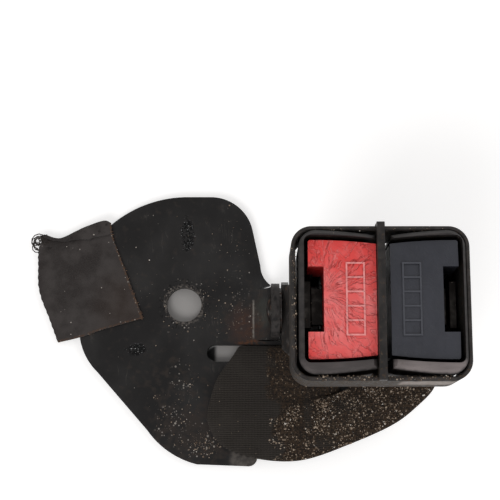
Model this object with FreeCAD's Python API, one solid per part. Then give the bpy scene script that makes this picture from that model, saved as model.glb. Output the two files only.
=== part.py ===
"""Twin rear seat belt buckle: two end-release buckles in one sleeve on an anchor plate.

The origin is the centre of the anchor bolt hole on the underside of the plate, with +Z up.
The two buckles stand back to back. The right one mirrors the left one about head_x, and
stands BLACK_SHIFT further out. Inside the left buckle, u is the distance outwards from
head_x, and v is the distance from the middle of the head along Y.
"""
import FreeCAD
import Part
import math
import os

# Anchor plate
PLATE_T = 3.0
BOLT_HOLE_D = 12.8
PLATE_LEFT = -38.4
PLATE_TOP = 40.8
PLATE_FOOT = -58.9
SHOULDER_X = 25.2
PLATE_NECK_Y = 7.3
FOOT_CORNER_X = 26.9
ARM_RIGHT = 69.0
ARM_CORNER_R = 6.0
ARM_LAND = 5.0

# Upright ear, bent up from the plate
EAR_FACE_X = 31.9
EAR_HALF_WIDTH = 9.6
EAR_BEND_R = 4.5
EAR_NECK = 3.7
PIVOT_Y = -3.6
PIVOT_CLEAR = 0.1

# Slot for the webbing and the raised bar that the webbing loops round
SLOT_SPARE = 10.0
SLOT_RIGHT = 60.0
SLOT_TOP = -14.9
SLOT_H = 6.2
BAR_H = 11.8
BAR_LIFT = 1.6
BAR_RAMP = 3.0
RELIEF = 0.3
LOOP_NOTCH_H = 6.0
LOOP_NOTCH_SPARE = 6.5

# Pivot between ear and stalk
RIVET_D = 8.0
RIVET_HEAD_D = 11.8
RIVET_HEAD_H = 1.7
RIVET_TAIL_D = 11.0
RIVET_TAIL_H = 1.6
RIVET_TAIL_BEVEL = 0.6
WASHER_D = 16.0
WASHER_T = 0.7
RUNNING_FIT = 0.05

# Stalk
STALK_T = 2.5
STALK_NIP = 3.0
STALK_SHOULDER = 4.0
STALK_HALF_WIDTH = 13.0
STALK_LAP = 18.0
JOG_CLEAR = 1.0
JOG_H = 7.0
JOG_SHIFT = 3.5
BEND_EASE = 2.0

# Head: sleeve, divider and housings
HEAD_Y = -9.5
SLEEVE_PLAY_BACK = 0.1
SLEEVE_PLAY_FRONT = 0.5
SLEEVE_WALL = 1.4
SLEEVE_R = 6.5
SLEEVE_H = 21.0
SLEEVE_DROP = 2.0
DIVIDER_T = 2.4
DIVIDER_DEPTH = 18.0
DIVIDER_RISE = 3.4
DIVIDER_HOOK_DROP = 4.0
DIVIDER_HOOK_T = 0.8
SLIP = 0.3

# Housing of one buckle
HOUSING_INNER_U = 1.6
HOUSING_END_WALL = 2.2
HOUSING_BOW = 1.8
HOUSING_R = 5.5
HOUSING_WALL = 2.0
HOUSING_TAPER_V = 3.2
HOUSING_TAPER_U = 0.7
HOUSING_FLOOR = 2.2
SPLIT_BACK = 8.0
MOUTH_LEDGE = 3.1
MOUTH_RIM = 1.7
FRONT_EXTRA = 1.8
MOUTH_BOW = 1.2
MOUTH_INNER_U = 1.4
MOUTH_OVERHANG = 2.5
MOUTH_R = 2.0
MOUTH_SPARE = 0.9
RIM_BEVEL = 1.2
BLACK_SHIFT = 1.6
BLACK_END_WALL = 1.35

# Push button
BUTTON_GAP = 1.3
BUTTON_RISE = 22.4
BUTTON_SINK = 1.6
BUTTON_SKIRT = 16.0
BUTTON_WALL = 1.7
BUTTON_CROWN = 0.8
BUTTON_TRAVEL = 6.0
TONGUE_ROOM = 3.7
NOTCH_HALF_V = 10.3
LEG_T = 2.3
LEG_W = 6.0
LEG_SLOPE = 5.5
LEG_GAP = 0.3
LEG_WEB_H = 4.0
GRIP_H = 0.35
GRIP_CELLS = 5
GRIP_CELL = 4.5
GRIP_LINE = 0.55
GRIP_W = 6.0
GRIP_U = 8.0

# Steel frame of one buckle
FRAME_T = 2.0
FRAME_BASE_U = 21.5
FRAME_HALF_V = 15.5
FRAME_FLANGE_W = 10.0
FRAME_INSET = 2.6
FRAME_DROP = 12.4
FLANGE_INSET = 6.0
FLANGE_NIP = 3.0
FRAME_NIP = 2.5
WINDOW_PLAY = 0.8
SEAT_TAB_T = 1.2
TAIL_R = 2.0
TAIL_DROP = 9.0
TAIL_END = 2.3
TAIL_BAR = 3.2
TAIL_SLOT_H = 4.6
TAIL_SLOT_SPARE = 2.2
STALK_RIVET_D = 4.5
STALK_RIVET_HEAD_D = 6.0
STALK_RIVET_HEAD_H = 1.0
STALK_RIVET_RISE = 6.2
STALK_RIVET_V = 7.5

# Latch and its pin
PIN_D = 3.0
PIN_HEAD_D = 4.6
PIN_HEAD_T = 0.8
PIN_BACK = 5.3
PIN_RISE = 11.0
LATCH_T = 2.5
LATCH_L = 18.0
LATCH_WINDOW_HALF_V = 3.6
NOSE_HALF_V = 5.8
NOSE_RISE = 2.5
NOSE_H = 3.0
NOSE_REACH = 0.8
NOSE_BEVEL = 1.4
LATCH_BEVEL = 1.0
LATCH_PLAY = 0.4
BARREL_WALL = 0.55

# Ejector and springs
EJECTOR_HALF_V = 7.6
EJECTOR_T = 2.6
EJECTOR_RISE = 1.4
EJECTOR_L = 14.0
EJECTOR_ROOF = 2.2
EJECTOR_R = 1.0
SPRING_SEAT_RISE = 3.4
EJECTOR_SPRING_R = 2.0
EJECTOR_WIRE = 0.5
EJECTOR_TURNS = 5
BUTTON_SPRING_R = 2.8
BUTTON_WIRE = 0.7
BUTTON_TURNS = 5
BUTTON_SPRING_U = 7.0
BUTTON_SPRING_ROOM = 28.4
BUTTON_SEAT_T = 2.0
BUTTON_SEAT_HALF_V = 8.0
BUTTON_PEG_H = 4.0
LEAF_T = 0.4
LEAF_HALF_V = 2.6
LEAF_FOOT_RISE = 5.2
LEAF_HOLD = 3.5
LEAF_TOE = 2.5

# Belt strap
STRAP_T = 1.2
STRAP_GAP = 0.15
STRAP_HALF_W = 19.2
TAIL_LOOP_HALF_V = 17.0
STRAP_STEPS = 14

# Cloth pad
PAD_T = 1.5
PAD_LEFT = -54.9
PAD_RIGHT = -15.1
PAD_TOP = 30.7
PAD_FOOT = -14.0

NOTHING = 0.01

# Anchor plate, ear and webbing bar
plate_neck_x = EAR_FACE_X - EAR_NECK
plate_bar_top = SLOT_TOP - SLOT_H
plate_bar_foot = plate_bar_top - BAR_H
ear_outer_x = EAR_FACE_X + PLATE_T
arm_top = PIVOT_Y - EAR_HALF_WIDTH - RELIEF
strap_right = SLOT_RIGHT - SLOT_H / 2
strap_left = strap_right - 2 * STRAP_HALF_W
slot_left = strap_left - SLOT_SPARE
loop_notch_left = strap_left - LOOP_NOTCH_SPARE

# Pivot and stalk
pivot_z = PLATE_T + EAR_BEND_R + RIVET_HEAD_D / 2 + PIVOT_CLEAR
stalk_x = ear_outer_x + WASHER_T
stalk_foot_r = pivot_z - PLATE_T - SLIP
jog_start = pivot_z + RIVET_TAIL_D / 2 + JOG_CLEAR
jog_end = jog_start + JOG_H
stalk_top = jog_end + STALK_LAP

# Heights in the head, from its foot up
housing_foot = jog_end
tail_foot = housing_foot - TAIL_DROP
frame_foot = housing_foot + FRAME_INSET
flange_foot = housing_foot + FLANGE_INSET
stalk_rivet_z = housing_foot + STALK_RIVET_RISE
pin_z = housing_foot + PIN_RISE
spring_seat_z = pin_z + SPRING_SEAT_RISE
latch_top = pin_z + LATCH_L
ejector_top = latch_top + EJECTOR_RISE
nose_foot = latch_top + NOSE_RISE
button_top = latch_top + BUTTON_RISE
button_foot = button_top - BUTTON_SKIRT
button_seat_z = button_top - BUTTON_SPRING_ROOM
mouth_floor = button_foot - BUTTON_TRAVEL - MOUTH_SPARE
frame_neck_z = mouth_floor - SLIP
frame_top = button_top - FRAME_DROP
housing_top = button_top + BUTTON_SINK
sleeve_top = housing_top - SLEEVE_DROP
sleeve_foot = sleeve_top - SLEEVE_H
divider_top = sleeve_top + DIVIDER_RISE
divider_foot = sleeve_top - DIVIDER_DEPTH

# Distances outwards in one buckle
frame_outer_u = FRAME_BASE_U + FRAME_T
frame_flange_u = FRAME_BASE_U - FRAME_FLANGE_W
split_u = FRAME_BASE_U - SPLIT_BACK
mouth_outer_u = FRAME_BASE_U + MOUTH_OVERHANG
notch_u = FRAME_BASE_U - TONGUE_ROOM
pin_u = FRAME_BASE_U - PIN_BACK
nose_tip_u = FRAME_BASE_U + NOSE_REACH
cavity_inner_u = HOUSING_INNER_U + HOUSING_WALL
cavity_outer_u = frame_outer_u + SLIP
housing_outer_u = frame_outer_u + HOUSING_END_WALL
black_outer_u = frame_outer_u + BLACK_END_WALL
sleeve_half_x = black_outer_u + BLACK_SHIFT + SLIP / 2 + SLEEVE_WALL
head_x = stalk_x + JOG_SHIFT + STALK_T + frame_outer_u
tail_x = head_x + BLACK_SHIFT + FRAME_BASE_U

# Distances from the middle of the head along Y
latch_half_v = FRAME_HALF_V - FRAME_T - LATCH_PLAY
works_half_v = FRAME_HALF_V + PIN_HEAD_T + 2 * SLIP
mouth_half_v = works_half_v + MOUTH_LEDGE
mouth_end_half_v = mouth_half_v - MOUTH_BOW
housing_half_v = mouth_half_v + MOUTH_RIM + FRONT_EXTRA / 2
housing_end_half_v = housing_half_v - HOUSING_BOW
housing_foot_half_v = housing_half_v - HOUSING_TAPER_V
housing_back_v = housing_half_v - FRONT_EXTRA / 2
housing_front_v = housing_half_v + FRONT_EXTRA / 2
sleeve_back_v = housing_back_v + SLEEVE_PLAY_BACK + SLEEVE_WALL
sleeve_front_v = housing_front_v + SLEEVE_PLAY_FRONT + SLEEVE_WALL
frame_neck_half_v = NOTCH_HALF_V - SLIP
tail_slot_half_v = TAIL_LOOP_HALF_V + TAIL_SLOT_SPARE
tail_half_v = tail_slot_half_v + TAIL_END


def vec(x, y, z):
    """A point or direction in the part's own frame."""
    return FreeCAD.Vector(x, y, z)


def box(x0, x1, y0, y1, z0, z1):
    """A box between two corners."""
    return Part.makeBox(x1 - x0, y1 - y0, z1 - z0, vec(x0, y0, z0))


def ubox(u0, u1, v0, v1, z0, z1):
    """A box in the left buckle, from its distances u and v."""
    return box(head_x - u1, head_x - u0, HEAD_Y + v0, HEAD_Y + v1, z0, z1)


def cylinder(radius, start, axis, length):
    """A cylinder from a start point along an axis."""
    return Part.makeCylinder(radius, length, start, axis)


def outline(start, steps, place):
    """A closed face from lines (x, y) and three-point arcs ((x, y), (x, y))."""
    edges = []
    here = start
    for step in steps + [start]:
        if isinstance(step[0], tuple):
            middle, end = step
            edges.append(Part.Arc(place(*here), place(*middle), place(*end)).toShape())
            here = end
        elif math.dist(here, step) > NOTHING:
            edges.append(Part.LineSegment(place(*here), place(*step)).toShape())
            here = step
    return Part.Face(Part.Wire(edges))


def flat(z):
    """Places outline points on a level plane."""
    return lambda x, y: vec(x, y, z)


def upright_x(x):
    """Places outline points (y, z) on a plane across X."""
    return lambda y, z: vec(x, y, z)


def upright_y(y):
    """Places outline points (x, z) on a plane across Y."""
    return lambda x, z: vec(x, y, z)


def rounded(x0, x1, y0, y1, radius, z0, z1):
    """A block with rounded upright edges."""
    s = radius * math.sqrt(0.5)
    steps = [
        (x1 - radius, y0),
        ((x1 - radius + s, y0 + radius - s), (x1, y0 + radius)),
        (x1, y1 - radius),
        ((x1 - radius + s, y1 - radius + s), (x1 - radius, y1)),
        (x0 + radius, y1),
        ((x0 + radius - s, y1 - radius + s), (x0, y1 - radius)),
        (x0, y0 + radius),
        ((x0 + radius - s, y0 + radius - s), (x0 + radius, y0)),
    ]
    return outline((x0 + radius, y0), steps, flat(z0)).extrude(vec(0, 0, z1 - z0))


def cushion(inner_u, outer_u, half_v, end_half_v, radius, z0, z1):
    """A block whose long sides bow from a narrow inner end to a wide outer end."""
    x0 = head_x - outer_u
    x1 = head_x - inner_u
    middle = (x0 + x1) / 2
    bow = (half_v + end_half_v) / 2 + (half_v - end_half_v) * 0.3
    s = radius * math.sqrt(0.5)
    steps = [
        ((middle, HEAD_Y - bow), (x1, HEAD_Y - end_half_v)),
        (x1, HEAD_Y + end_half_v),
        ((middle, HEAD_Y + bow), (x0 + radius, HEAD_Y + half_v)),
        ((x0 + radius - s, HEAD_Y + half_v - radius + s), (x0, HEAD_Y + half_v - radius)),
        (x0, HEAD_Y - half_v + radius),
        ((x0 + radius - s, HEAD_Y - half_v + radius - s), (x0 + radius, HEAD_Y - half_v)),
    ]
    start = (x0 + radius, HEAD_Y - half_v)
    return outline(start, steps, flat(z0)).extrude(vec(0, 0, z1 - z0))


def mirrored(shape):
    """The right buckle's copy of a piece of the left one, a little further out."""
    return shape.mirror(vec(head_x + BLACK_SHIFT / 2, 0, 0), vec(1, 0, 0))


def edges_at(shape, test):
    """The edges whose middle passes a test."""
    return [e for e in shape.Edges if test(e.CenterOfMass, e)]


def coil(radius, wire, turns, x, y, z0, z1):
    """A compression spring of square wire with its axis upright."""
    height = z1 - z0 - wire
    path = Part.makeHelix(height / turns, height, radius)
    half = wire / 2
    corners = [(-half, -half), (half, -half), (half, half), (-half, half), (-half, -half)]
    section = Part.makePolygon([vec(radius + a, 0, b) for a, b in corners])
    spring = Part.Wire(path).makePipeShell([section], True, True)
    spring.translate(vec(x, y, z0 + half))
    return spring


def make_anchor_plate():
    """The flat plate with its bolt hole, slot, raised webbing bar and upright ear."""
    ear_top = PIVOT_Y + EAR_HALF_WIDTH
    bend_x = EAR_FACE_X - EAR_BEND_R
    notch_r = LOOP_NOTCH_H / 2
    notch_y = plate_bar_foot - notch_r
    s = ARM_CORNER_R * math.sqrt(0.5)
    steps = [
        ((PLATE_LEFT * 0.39, PLATE_TOP - 3.0), (0.0, PLATE_TOP)),
        (9.0, PLATE_TOP),
        ((SHOULDER_X - 5.0, PLATE_TOP - 4.0), (SHOULDER_X, PLATE_TOP - 12.3)),
        (plate_neck_x, PLATE_NECK_Y + 7.2),
        ((plate_neck_x + 1.1, PLATE_NECK_Y + 3.0), (EAR_FACE_X, PLATE_NECK_Y)),
        (bend_x, ear_top),
        (bend_x, arm_top),
        (ear_outer_x + RELIEF, arm_top),
        (ear_outer_x + RELIEF, arm_top + ARM_LAND),
        (ARM_RIGHT - ARM_CORNER_R, arm_top + ARM_LAND),
        (ARM_RIGHT - ARM_CORNER_R, arm_top),
        ((ARM_RIGHT - ARM_CORNER_R + s, arm_top - ARM_CORNER_R + s), (ARM_RIGHT, arm_top - ARM_CORNER_R)),
        (ARM_RIGHT, plate_bar_foot + ARM_CORNER_R),
        (
            (ARM_RIGHT - ARM_CORNER_R + s, plate_bar_foot + ARM_CORNER_R - s),
            (ARM_RIGHT - ARM_CORNER_R, plate_bar_foot),
        ),
        (loop_notch_left + notch_r, plate_bar_foot),
        ((loop_notch_left, notch_y), (loop_notch_left + notch_r, notch_y - notch_r)),
        (FOOT_CORNER_X, notch_y - notch_r),
        (FOOT_CORNER_X, PLATE_FOOT + 3.4),
        ((FOOT_CORNER_X - 0.8, PLATE_FOOT + 1.0), (FOOT_CORNER_X - 3.4, PLATE_FOOT)),
        (5.0, PLATE_FOOT + 0.7),
        ((-5.0, PLATE_FOOT + 5.1), (-13.0, PLATE_FOOT + 12.9)),
        (PLATE_LEFT + 6.9, PLATE_FOOT + 33.9),
        ((PLATE_LEFT + 1.9, PLATE_FOOT + 40.9), (PLATE_LEFT, PLATE_FOOT + 47.4)),
        ((PLATE_LEFT + 0.2, PLATE_TOP - 30.8), (PLATE_LEFT + 10.7, PLATE_TOP - 10.8)),
    ]
    start = (PLATE_LEFT + 10.7, PLATE_TOP - 10.8)
    plate = outline(start, steps, flat(0)).extrude(vec(0, 0, PLATE_T))
    plate = plate.cut(cylinder(BOLT_HOLE_D / 2, vec(0, 0, -1), vec(0, 0, 1), PLATE_T + 2))
    slot = rounded(slot_left, SLOT_RIGHT, plate_bar_top, SLOT_TOP, SLOT_H / 2 - NOTHING, -1, PLATE_T + 1)
    plate = plate.cut(slot)
    plate = plate.cut(raised_bar_gap())
    plate = plate.fuse(raised_bar())
    plate = plate.fuse(make_ear())
    return plate.removeSplitter()


def bar_ends():
    """Where the raised bar starts and ends along X."""
    return loop_notch_left + LOOP_NOTCH_H / 2, SLOT_RIGHT + 1.0


def raised_bar_gap():
    """What the raised bar takes out of the flat plate."""
    left, right = bar_ends()
    return box(left, right, plate_bar_foot - 1, plate_bar_top, -1, PLATE_T + 1)


def raised_bar():
    """The webbing bar, pressed up so that the webbing passes under it."""
    left, right = bar_ends()
    lift = BAR_LIFT
    steps = [
        (left + BAR_RAMP, lift),
        (right - BAR_RAMP, lift),
        (right, 0),
        (right, PLATE_T),
        (right - BAR_RAMP, PLATE_T + lift),
        (left + BAR_RAMP, PLATE_T + lift),
        (left, PLATE_T),
    ]
    profile = outline((left, 0), steps, upright_y(plate_bar_foot))
    return profile.extrude(vec(0, BAR_H, 0))


def make_ear():
    """The bend and the upright ear with its round top and pivot hole."""
    bend_x = EAR_FACE_X - EAR_BEND_R
    outer_r = EAR_BEND_R + PLATE_T
    centre_z = PLATE_T + EAR_BEND_R
    top = pivot_z + EAR_HALF_WIDTH
    a = math.sqrt(0.5)
    inner_mid = (bend_x + EAR_BEND_R * a, centre_z - EAR_BEND_R * a)
    outer_mid = (bend_x + outer_r * a, centre_z - outer_r * a)
    steps = [
        (inner_mid, (EAR_FACE_X, centre_z)),
        (EAR_FACE_X, top),
        (EAR_FACE_X + PLATE_T, top),
        (EAR_FACE_X + PLATE_T, centre_z),
        (outer_mid, (bend_x, 0)),
    ]
    y0 = PIVOT_Y - EAR_HALF_WIDTH
    strip = outline((bend_x, PLATE_T), steps, upright_y(y0)).extrude(vec(0, 2 * EAR_HALF_WIDTH, 0))
    side = [
        (PIVOT_Y + EAR_HALF_WIDTH, 0),
        (PIVOT_Y + EAR_HALF_WIDTH, pivot_z),
        ((PIVOT_Y, top), (PIVOT_Y - EAR_HALF_WIDTH, pivot_z)),
    ]
    mask = outline((y0, 0), side, upright_x(bend_x - 1)).extrude(vec(EAR_FACE_X + 10 - bend_x, 0, 0))
    ear = strip.common(mask)
    return ear.cut(cylinder(RIVET_D / 2 + RUNNING_FIT, vec(0, PIVOT_Y, pivot_z), vec(1, 0, 0), head_x))


def make_pivot_rivet():
    """The large rivet with a domed head on the ear and a flat upset end past the stalk."""
    along = vec(1, 0, 0)
    head_r = RIVET_HEAD_D / 2
    dome_r = (head_r ** 2 + RIVET_HEAD_H ** 2) / (2 * RIVET_HEAD_H)
    dome = Part.makeSphere(dome_r, vec(EAR_FACE_X - RIVET_HEAD_H + dome_r, PIVOT_Y, pivot_z))
    rim = cylinder(head_r + 1, vec(EAR_FACE_X - RIVET_HEAD_H - 1, PIVOT_Y, pivot_z), along, RIVET_HEAD_H + 1)
    tail_x = stalk_x + STALK_T + RUNNING_FIT
    shank = cylinder(RIVET_D / 2, vec(EAR_FACE_X - 1, PIVOT_Y, pivot_z), along, tail_x + 2 - EAR_FACE_X)
    tail = cylinder(RIVET_TAIL_D / 2, vec(tail_x, PIVOT_Y, pivot_z), along, RIVET_TAIL_H)
    ends = edges_at(tail, lambda c, e: abs(c.x - tail_x - RIVET_TAIL_H) < NOTHING)
    return dome.common(rim).fuse([shank, tail.makeChamfer(RIVET_TAIL_BEVEL, ends)]).removeSplitter()


def make_pivot_washer():
    """The thin friction washer between the ear and the stalk."""
    start = vec(EAR_FACE_X + PLATE_T, PIVOT_Y, pivot_z)
    ring = cylinder(WASHER_D / 2, start, vec(1, 0, 0), WASHER_T)
    return ring.cut(cylinder(RIVET_D / 2 + RUNNING_FIT, start, vec(1, 0, 0), WASHER_T))


def stalk_upper_x():
    """The outer face of the stalk where it lies against the frame."""
    return head_x - frame_outer_u - STALK_T


def make_stalk():
    """The flat steel stalk from the pivot up into the left buckle, with one jog."""
    low = stalk_x
    high = stalk_upper_x()
    foot = pivot_z - stalk_foot_r
    steps = [
        (low + STALK_T, foot),
        (low + STALK_T, jog_start),
        (high + STALK_T, jog_end),
        (high + STALK_T, stalk_top),
        (high, stalk_top),
        (high, jog_end),
        (low, jog_start),
    ]
    reach = 2 * STALK_HALF_WIDTH + stalk_foot_r + 20
    y0 = HEAD_Y - reach / 2
    strip = outline((low, foot), steps, upright_y(y0)).extrude(vec(0, reach, 0))
    bends = edges_at(strip, lambda c, e: e.Length > reach - 1 and jog_start - 0.5 < c.z < jog_end + 0.5)
    strip = strip.makeFillet(BEND_EASE, bends)
    left = HEAD_Y - STALK_HALF_WIDTH
    right = HEAD_Y + STALK_HALF_WIDTH
    shoulder = housing_foot - SLIP
    nip = STALK_NIP
    side = [
        (PIVOT_Y + stalk_foot_r - 2.0, jog_start),
        (right, shoulder),
        (right, stalk_top - nip),
        (right - nip, stalk_top),
        (left + nip, stalk_top),
        (left, stalk_top - nip),
        (left, shoulder),
        (left + STALK_SHOULDER, jog_start),
        (PIVOT_Y - stalk_foot_r, pivot_z),
        ((PIVOT_Y, foot), (PIVOT_Y + stalk_foot_r, pivot_z)),
    ]
    mask = outline((PIVOT_Y + stalk_foot_r, pivot_z), side, upright_x(low - 1))
    stalk = strip.common(mask.extrude(vec(high - low + STALK_T + 2, 0, 0)))
    bore = cylinder(RIVET_D / 2 + RUNNING_FIT, vec(0, PIVOT_Y, pivot_z), vec(1, 0, 0), head_x)
    stalk = stalk.cut(bore)
    for v in (-STALK_RIVET_V, STALK_RIVET_V):
        start = vec(0, HEAD_Y + v, stalk_rivet_z)
        stalk = stalk.cut(cylinder(STALK_RIVET_D / 2, start, vec(1, 0, 0), head_x))
    return stalk


def make_stalk_rivets():
    """Two rivets that hold the stalk to the left frame."""
    outer = stalk_upper_x()
    inner = head_x - FRAME_BASE_U
    rivets = []
    for v in (-STALK_RIVET_V, STALK_RIVET_V):
        y = HEAD_Y + v
        shank = cylinder(STALK_RIVET_D / 2, vec(outer, y, stalk_rivet_z), vec(1, 0, 0), inner - outer)
        for x, direction in ((outer, -1), (inner, 1)):
            head = Part.makeCone(
                STALK_RIVET_HEAD_D / 2,
                STALK_RIVET_D / 2,
                STALK_RIVET_HEAD_H,
                vec(x, y, stalk_rivet_z),
                vec(direction, 0, 0),
            )
            shank = shank.fuse(head)
        rivets.append(shank.removeSplitter())
    return Part.makeCompound(rivets)


def make_sleeve():
    """The thin rounded rectangular sleeve round both housings."""
    x0 = head_x - sleeve_half_x
    x1 = head_x + sleeve_half_x
    y0 = HEAD_Y - sleeve_front_v
    y1 = HEAD_Y + sleeve_back_v
    w = SLEEVE_WALL
    outer = rounded(x0, x1, y0, y1, SLEEVE_R, sleeve_foot, sleeve_top)
    inner = rounded(x0 + w, x1 - w, y0 + w, y1 - w, SLEEVE_R - w, sleeve_foot - 1, sleeve_top + 1)
    sleeve = outer.cut(inner)
    rim = edges_at(sleeve, lambda c, e: abs(c.z - sleeve_top) < NOTHING)
    return sleeve.makeChamfer(SLEEVE_WALL * 0.25, rim)


def make_divider():
    """The plate between the housings, which hooks over the sleeve at the back."""
    inside = sleeve_back_v - SLEEVE_WALL - SLIP / 2
    outside = sleeve_back_v + SLIP / 2
    front_inside = SLEEVE_WALL + SLIP / 2 - sleeve_front_v
    tip = outside + DIVIDER_HOOK_T
    seat = sleeve_top + SLIP / 3
    hook_foot = sleeve_top - DIVIDER_HOOK_DROP
    r = DIVIDER_T / 2
    s = r * (1 - math.sqrt(0.5))
    front = -sleeve_front_v
    steps = [
        (inside, divider_foot),
        (inside, seat),
        (outside, seat),
        (outside, hook_foot),
        (tip, hook_foot),
        (tip, divider_top - r),
        ((tip - s, divider_top - s), (tip - r, divider_top)),
        (front + r, divider_top),
        ((front + s, divider_top - s), (front, divider_top - r)),
        (front, seat),
        (front_inside, seat),
    ]
    plate = outline((front_inside, divider_foot), steps, lambda v, z: vec(head_x - DIVIDER_T / 2, HEAD_Y + v, z))
    return plate.extrude(vec(DIVIDER_T, 0, 0))


def housing_block(outer_u):
    """The outside of one housing before it is split and hollowed."""
    block = cushion(
        HOUSING_INNER_U,
        outer_u,
        housing_half_v,
        housing_end_half_v,
        HOUSING_R,
        housing_foot,
        housing_top,
    )
    rim = edges_at(block, lambda c, e: abs(c.z - housing_top) < NOTHING)
    block = block.makeChamfer(RIM_BEVEL, rim)
    wide = housing_half_v + 1
    narrow = housing_foot_half_v
    ends = [(wide, sleeve_foot), (wide, housing_top + 1), (-wide, housing_top + 1), (-wide, sleeve_foot)]
    long_way = outline((-narrow, housing_foot), [(narrow, housing_foot)] + ends, lambda v, z: vec(0, HEAD_Y + v, z))
    block = block.common(long_way.extrude(vec(head_x + housing_outer_u, 0, 0)))
    foot_u = min(housing_outer_u - HOUSING_TAPER_U, outer_u)
    ends = [(foot_u, housing_foot), (outer_u + NOTHING, sleeve_foot), (outer_u + NOTHING, housing_top + 1)]
    across = outline((0, housing_foot), ends + [(0, housing_top + 1)], lambda u, z: vec(head_x - u, HEAD_Y - wide, z))
    block = block.common(across.extrude(vec(0, 2 * wide, 0)))
    block.translate(vec(0, -FRONT_EXTRA / 2, 0))
    return block


def housing_hollow():
    """The room inside one housing: the button's mouth above and the works below."""
    mouth = cushion(
        MOUTH_INNER_U,
        mouth_outer_u,
        mouth_half_v,
        mouth_end_half_v,
        MOUTH_R,
        mouth_floor,
        housing_top + 1,
    )
    works = ubox(
        cavity_inner_u,
        cavity_outer_u,
        -works_half_v,
        works_half_v,
        housing_foot + HOUSING_FLOOR,
        mouth_floor,
    )
    neck = ubox(
        FRAME_BASE_U - 1,
        cavity_outer_u,
        -frame_neck_half_v - SLIP,
        frame_neck_half_v + SLIP,
        mouth_floor - 1,
        frame_top + SLIP,
    )
    return mouth.fuse([works, neck])


def make_shells(on_stalk):
    """The outer and inner shells of one housing."""
    body = housing_block(housing_outer_u if on_stalk else black_outer_u).cut(housing_hollow())
    split = head_x - split_u
    reach = housing_front_v + 1
    outer_half = box(head_x - housing_outer_u - 1, split, HEAD_Y - reach, HEAD_Y + reach, 0, housing_top + 1)
    inner_half = box(split, head_x, HEAD_Y - reach, HEAD_Y + reach, 0, housing_top + 1)
    outer = body.common(outer_half)
    inner = body.common(inner_half)
    if on_stalk:
        half = STALK_HALF_WIDTH + SLIP
        gap = box(0, head_x - FRAME_BASE_U + SLIP, HEAD_Y - half, HEAD_Y + half, 0, stalk_top + SLIP)
        rivet_room = ubox(
            FRAME_BASE_U - STALK_RIVET_HEAD_H - SLIP,
            frame_outer_u,
            -STALK_RIVET_V - STALK_RIVET_HEAD_D / 2 - SLIP,
            STALK_RIVET_V + STALK_RIVET_HEAD_D / 2 + SLIP,
            0,
            stalk_rivet_z + STALK_RIVET_HEAD_D,
        )
        outer = outer.cut(gap).cut(rivet_room)
    else:
        half = FRAME_HALF_V + SLIP
        gap = ubox(FRAME_BASE_U - SLIP, frame_outer_u + SLIP, -half, half, 0, housing_foot + HOUSING_FLOOR + 1)
        outer = outer.cut(gap)
    seat = ubox(
        HOUSING_INNER_U + HOUSING_WALL / 2,
        BUTTON_SPRING_U + BUTTON_SPRING_R + BUTTON_WIRE + SLIP,
        -BUTTON_SEAT_HALF_V,
        BUTTON_SEAT_HALF_V,
        button_seat_z - BUTTON_SEAT_T,
        button_seat_z,
    )
    peg = cylinder(
        BUTTON_SPRING_R - BUTTON_WIRE / 2 - SLIP,
        vec(head_x - BUTTON_SPRING_U, HEAD_Y, button_seat_z - BUTTON_SEAT_T),
        vec(0, 0, 1),
        BUTTON_SEAT_T + BUTTON_PEG_H,
    )
    inner = inner.fuse([seat, peg]).removeSplitter()
    for v in (-1, 1):
        rib_v = FRAME_HALF_V + SLIP
        v0, v1 = sorted((v * rib_v, v * (works_half_v + HOUSING_WALL / 4)))
        rib_top = pin_z - PIN_HEAD_D / 2 - SLIP
        rib = ubox(split_u, frame_outer_u, v0, v1, housing_foot + 1, rib_top)
        outer = outer.fuse(rib)
    return outer.removeSplitter(), inner


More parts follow.
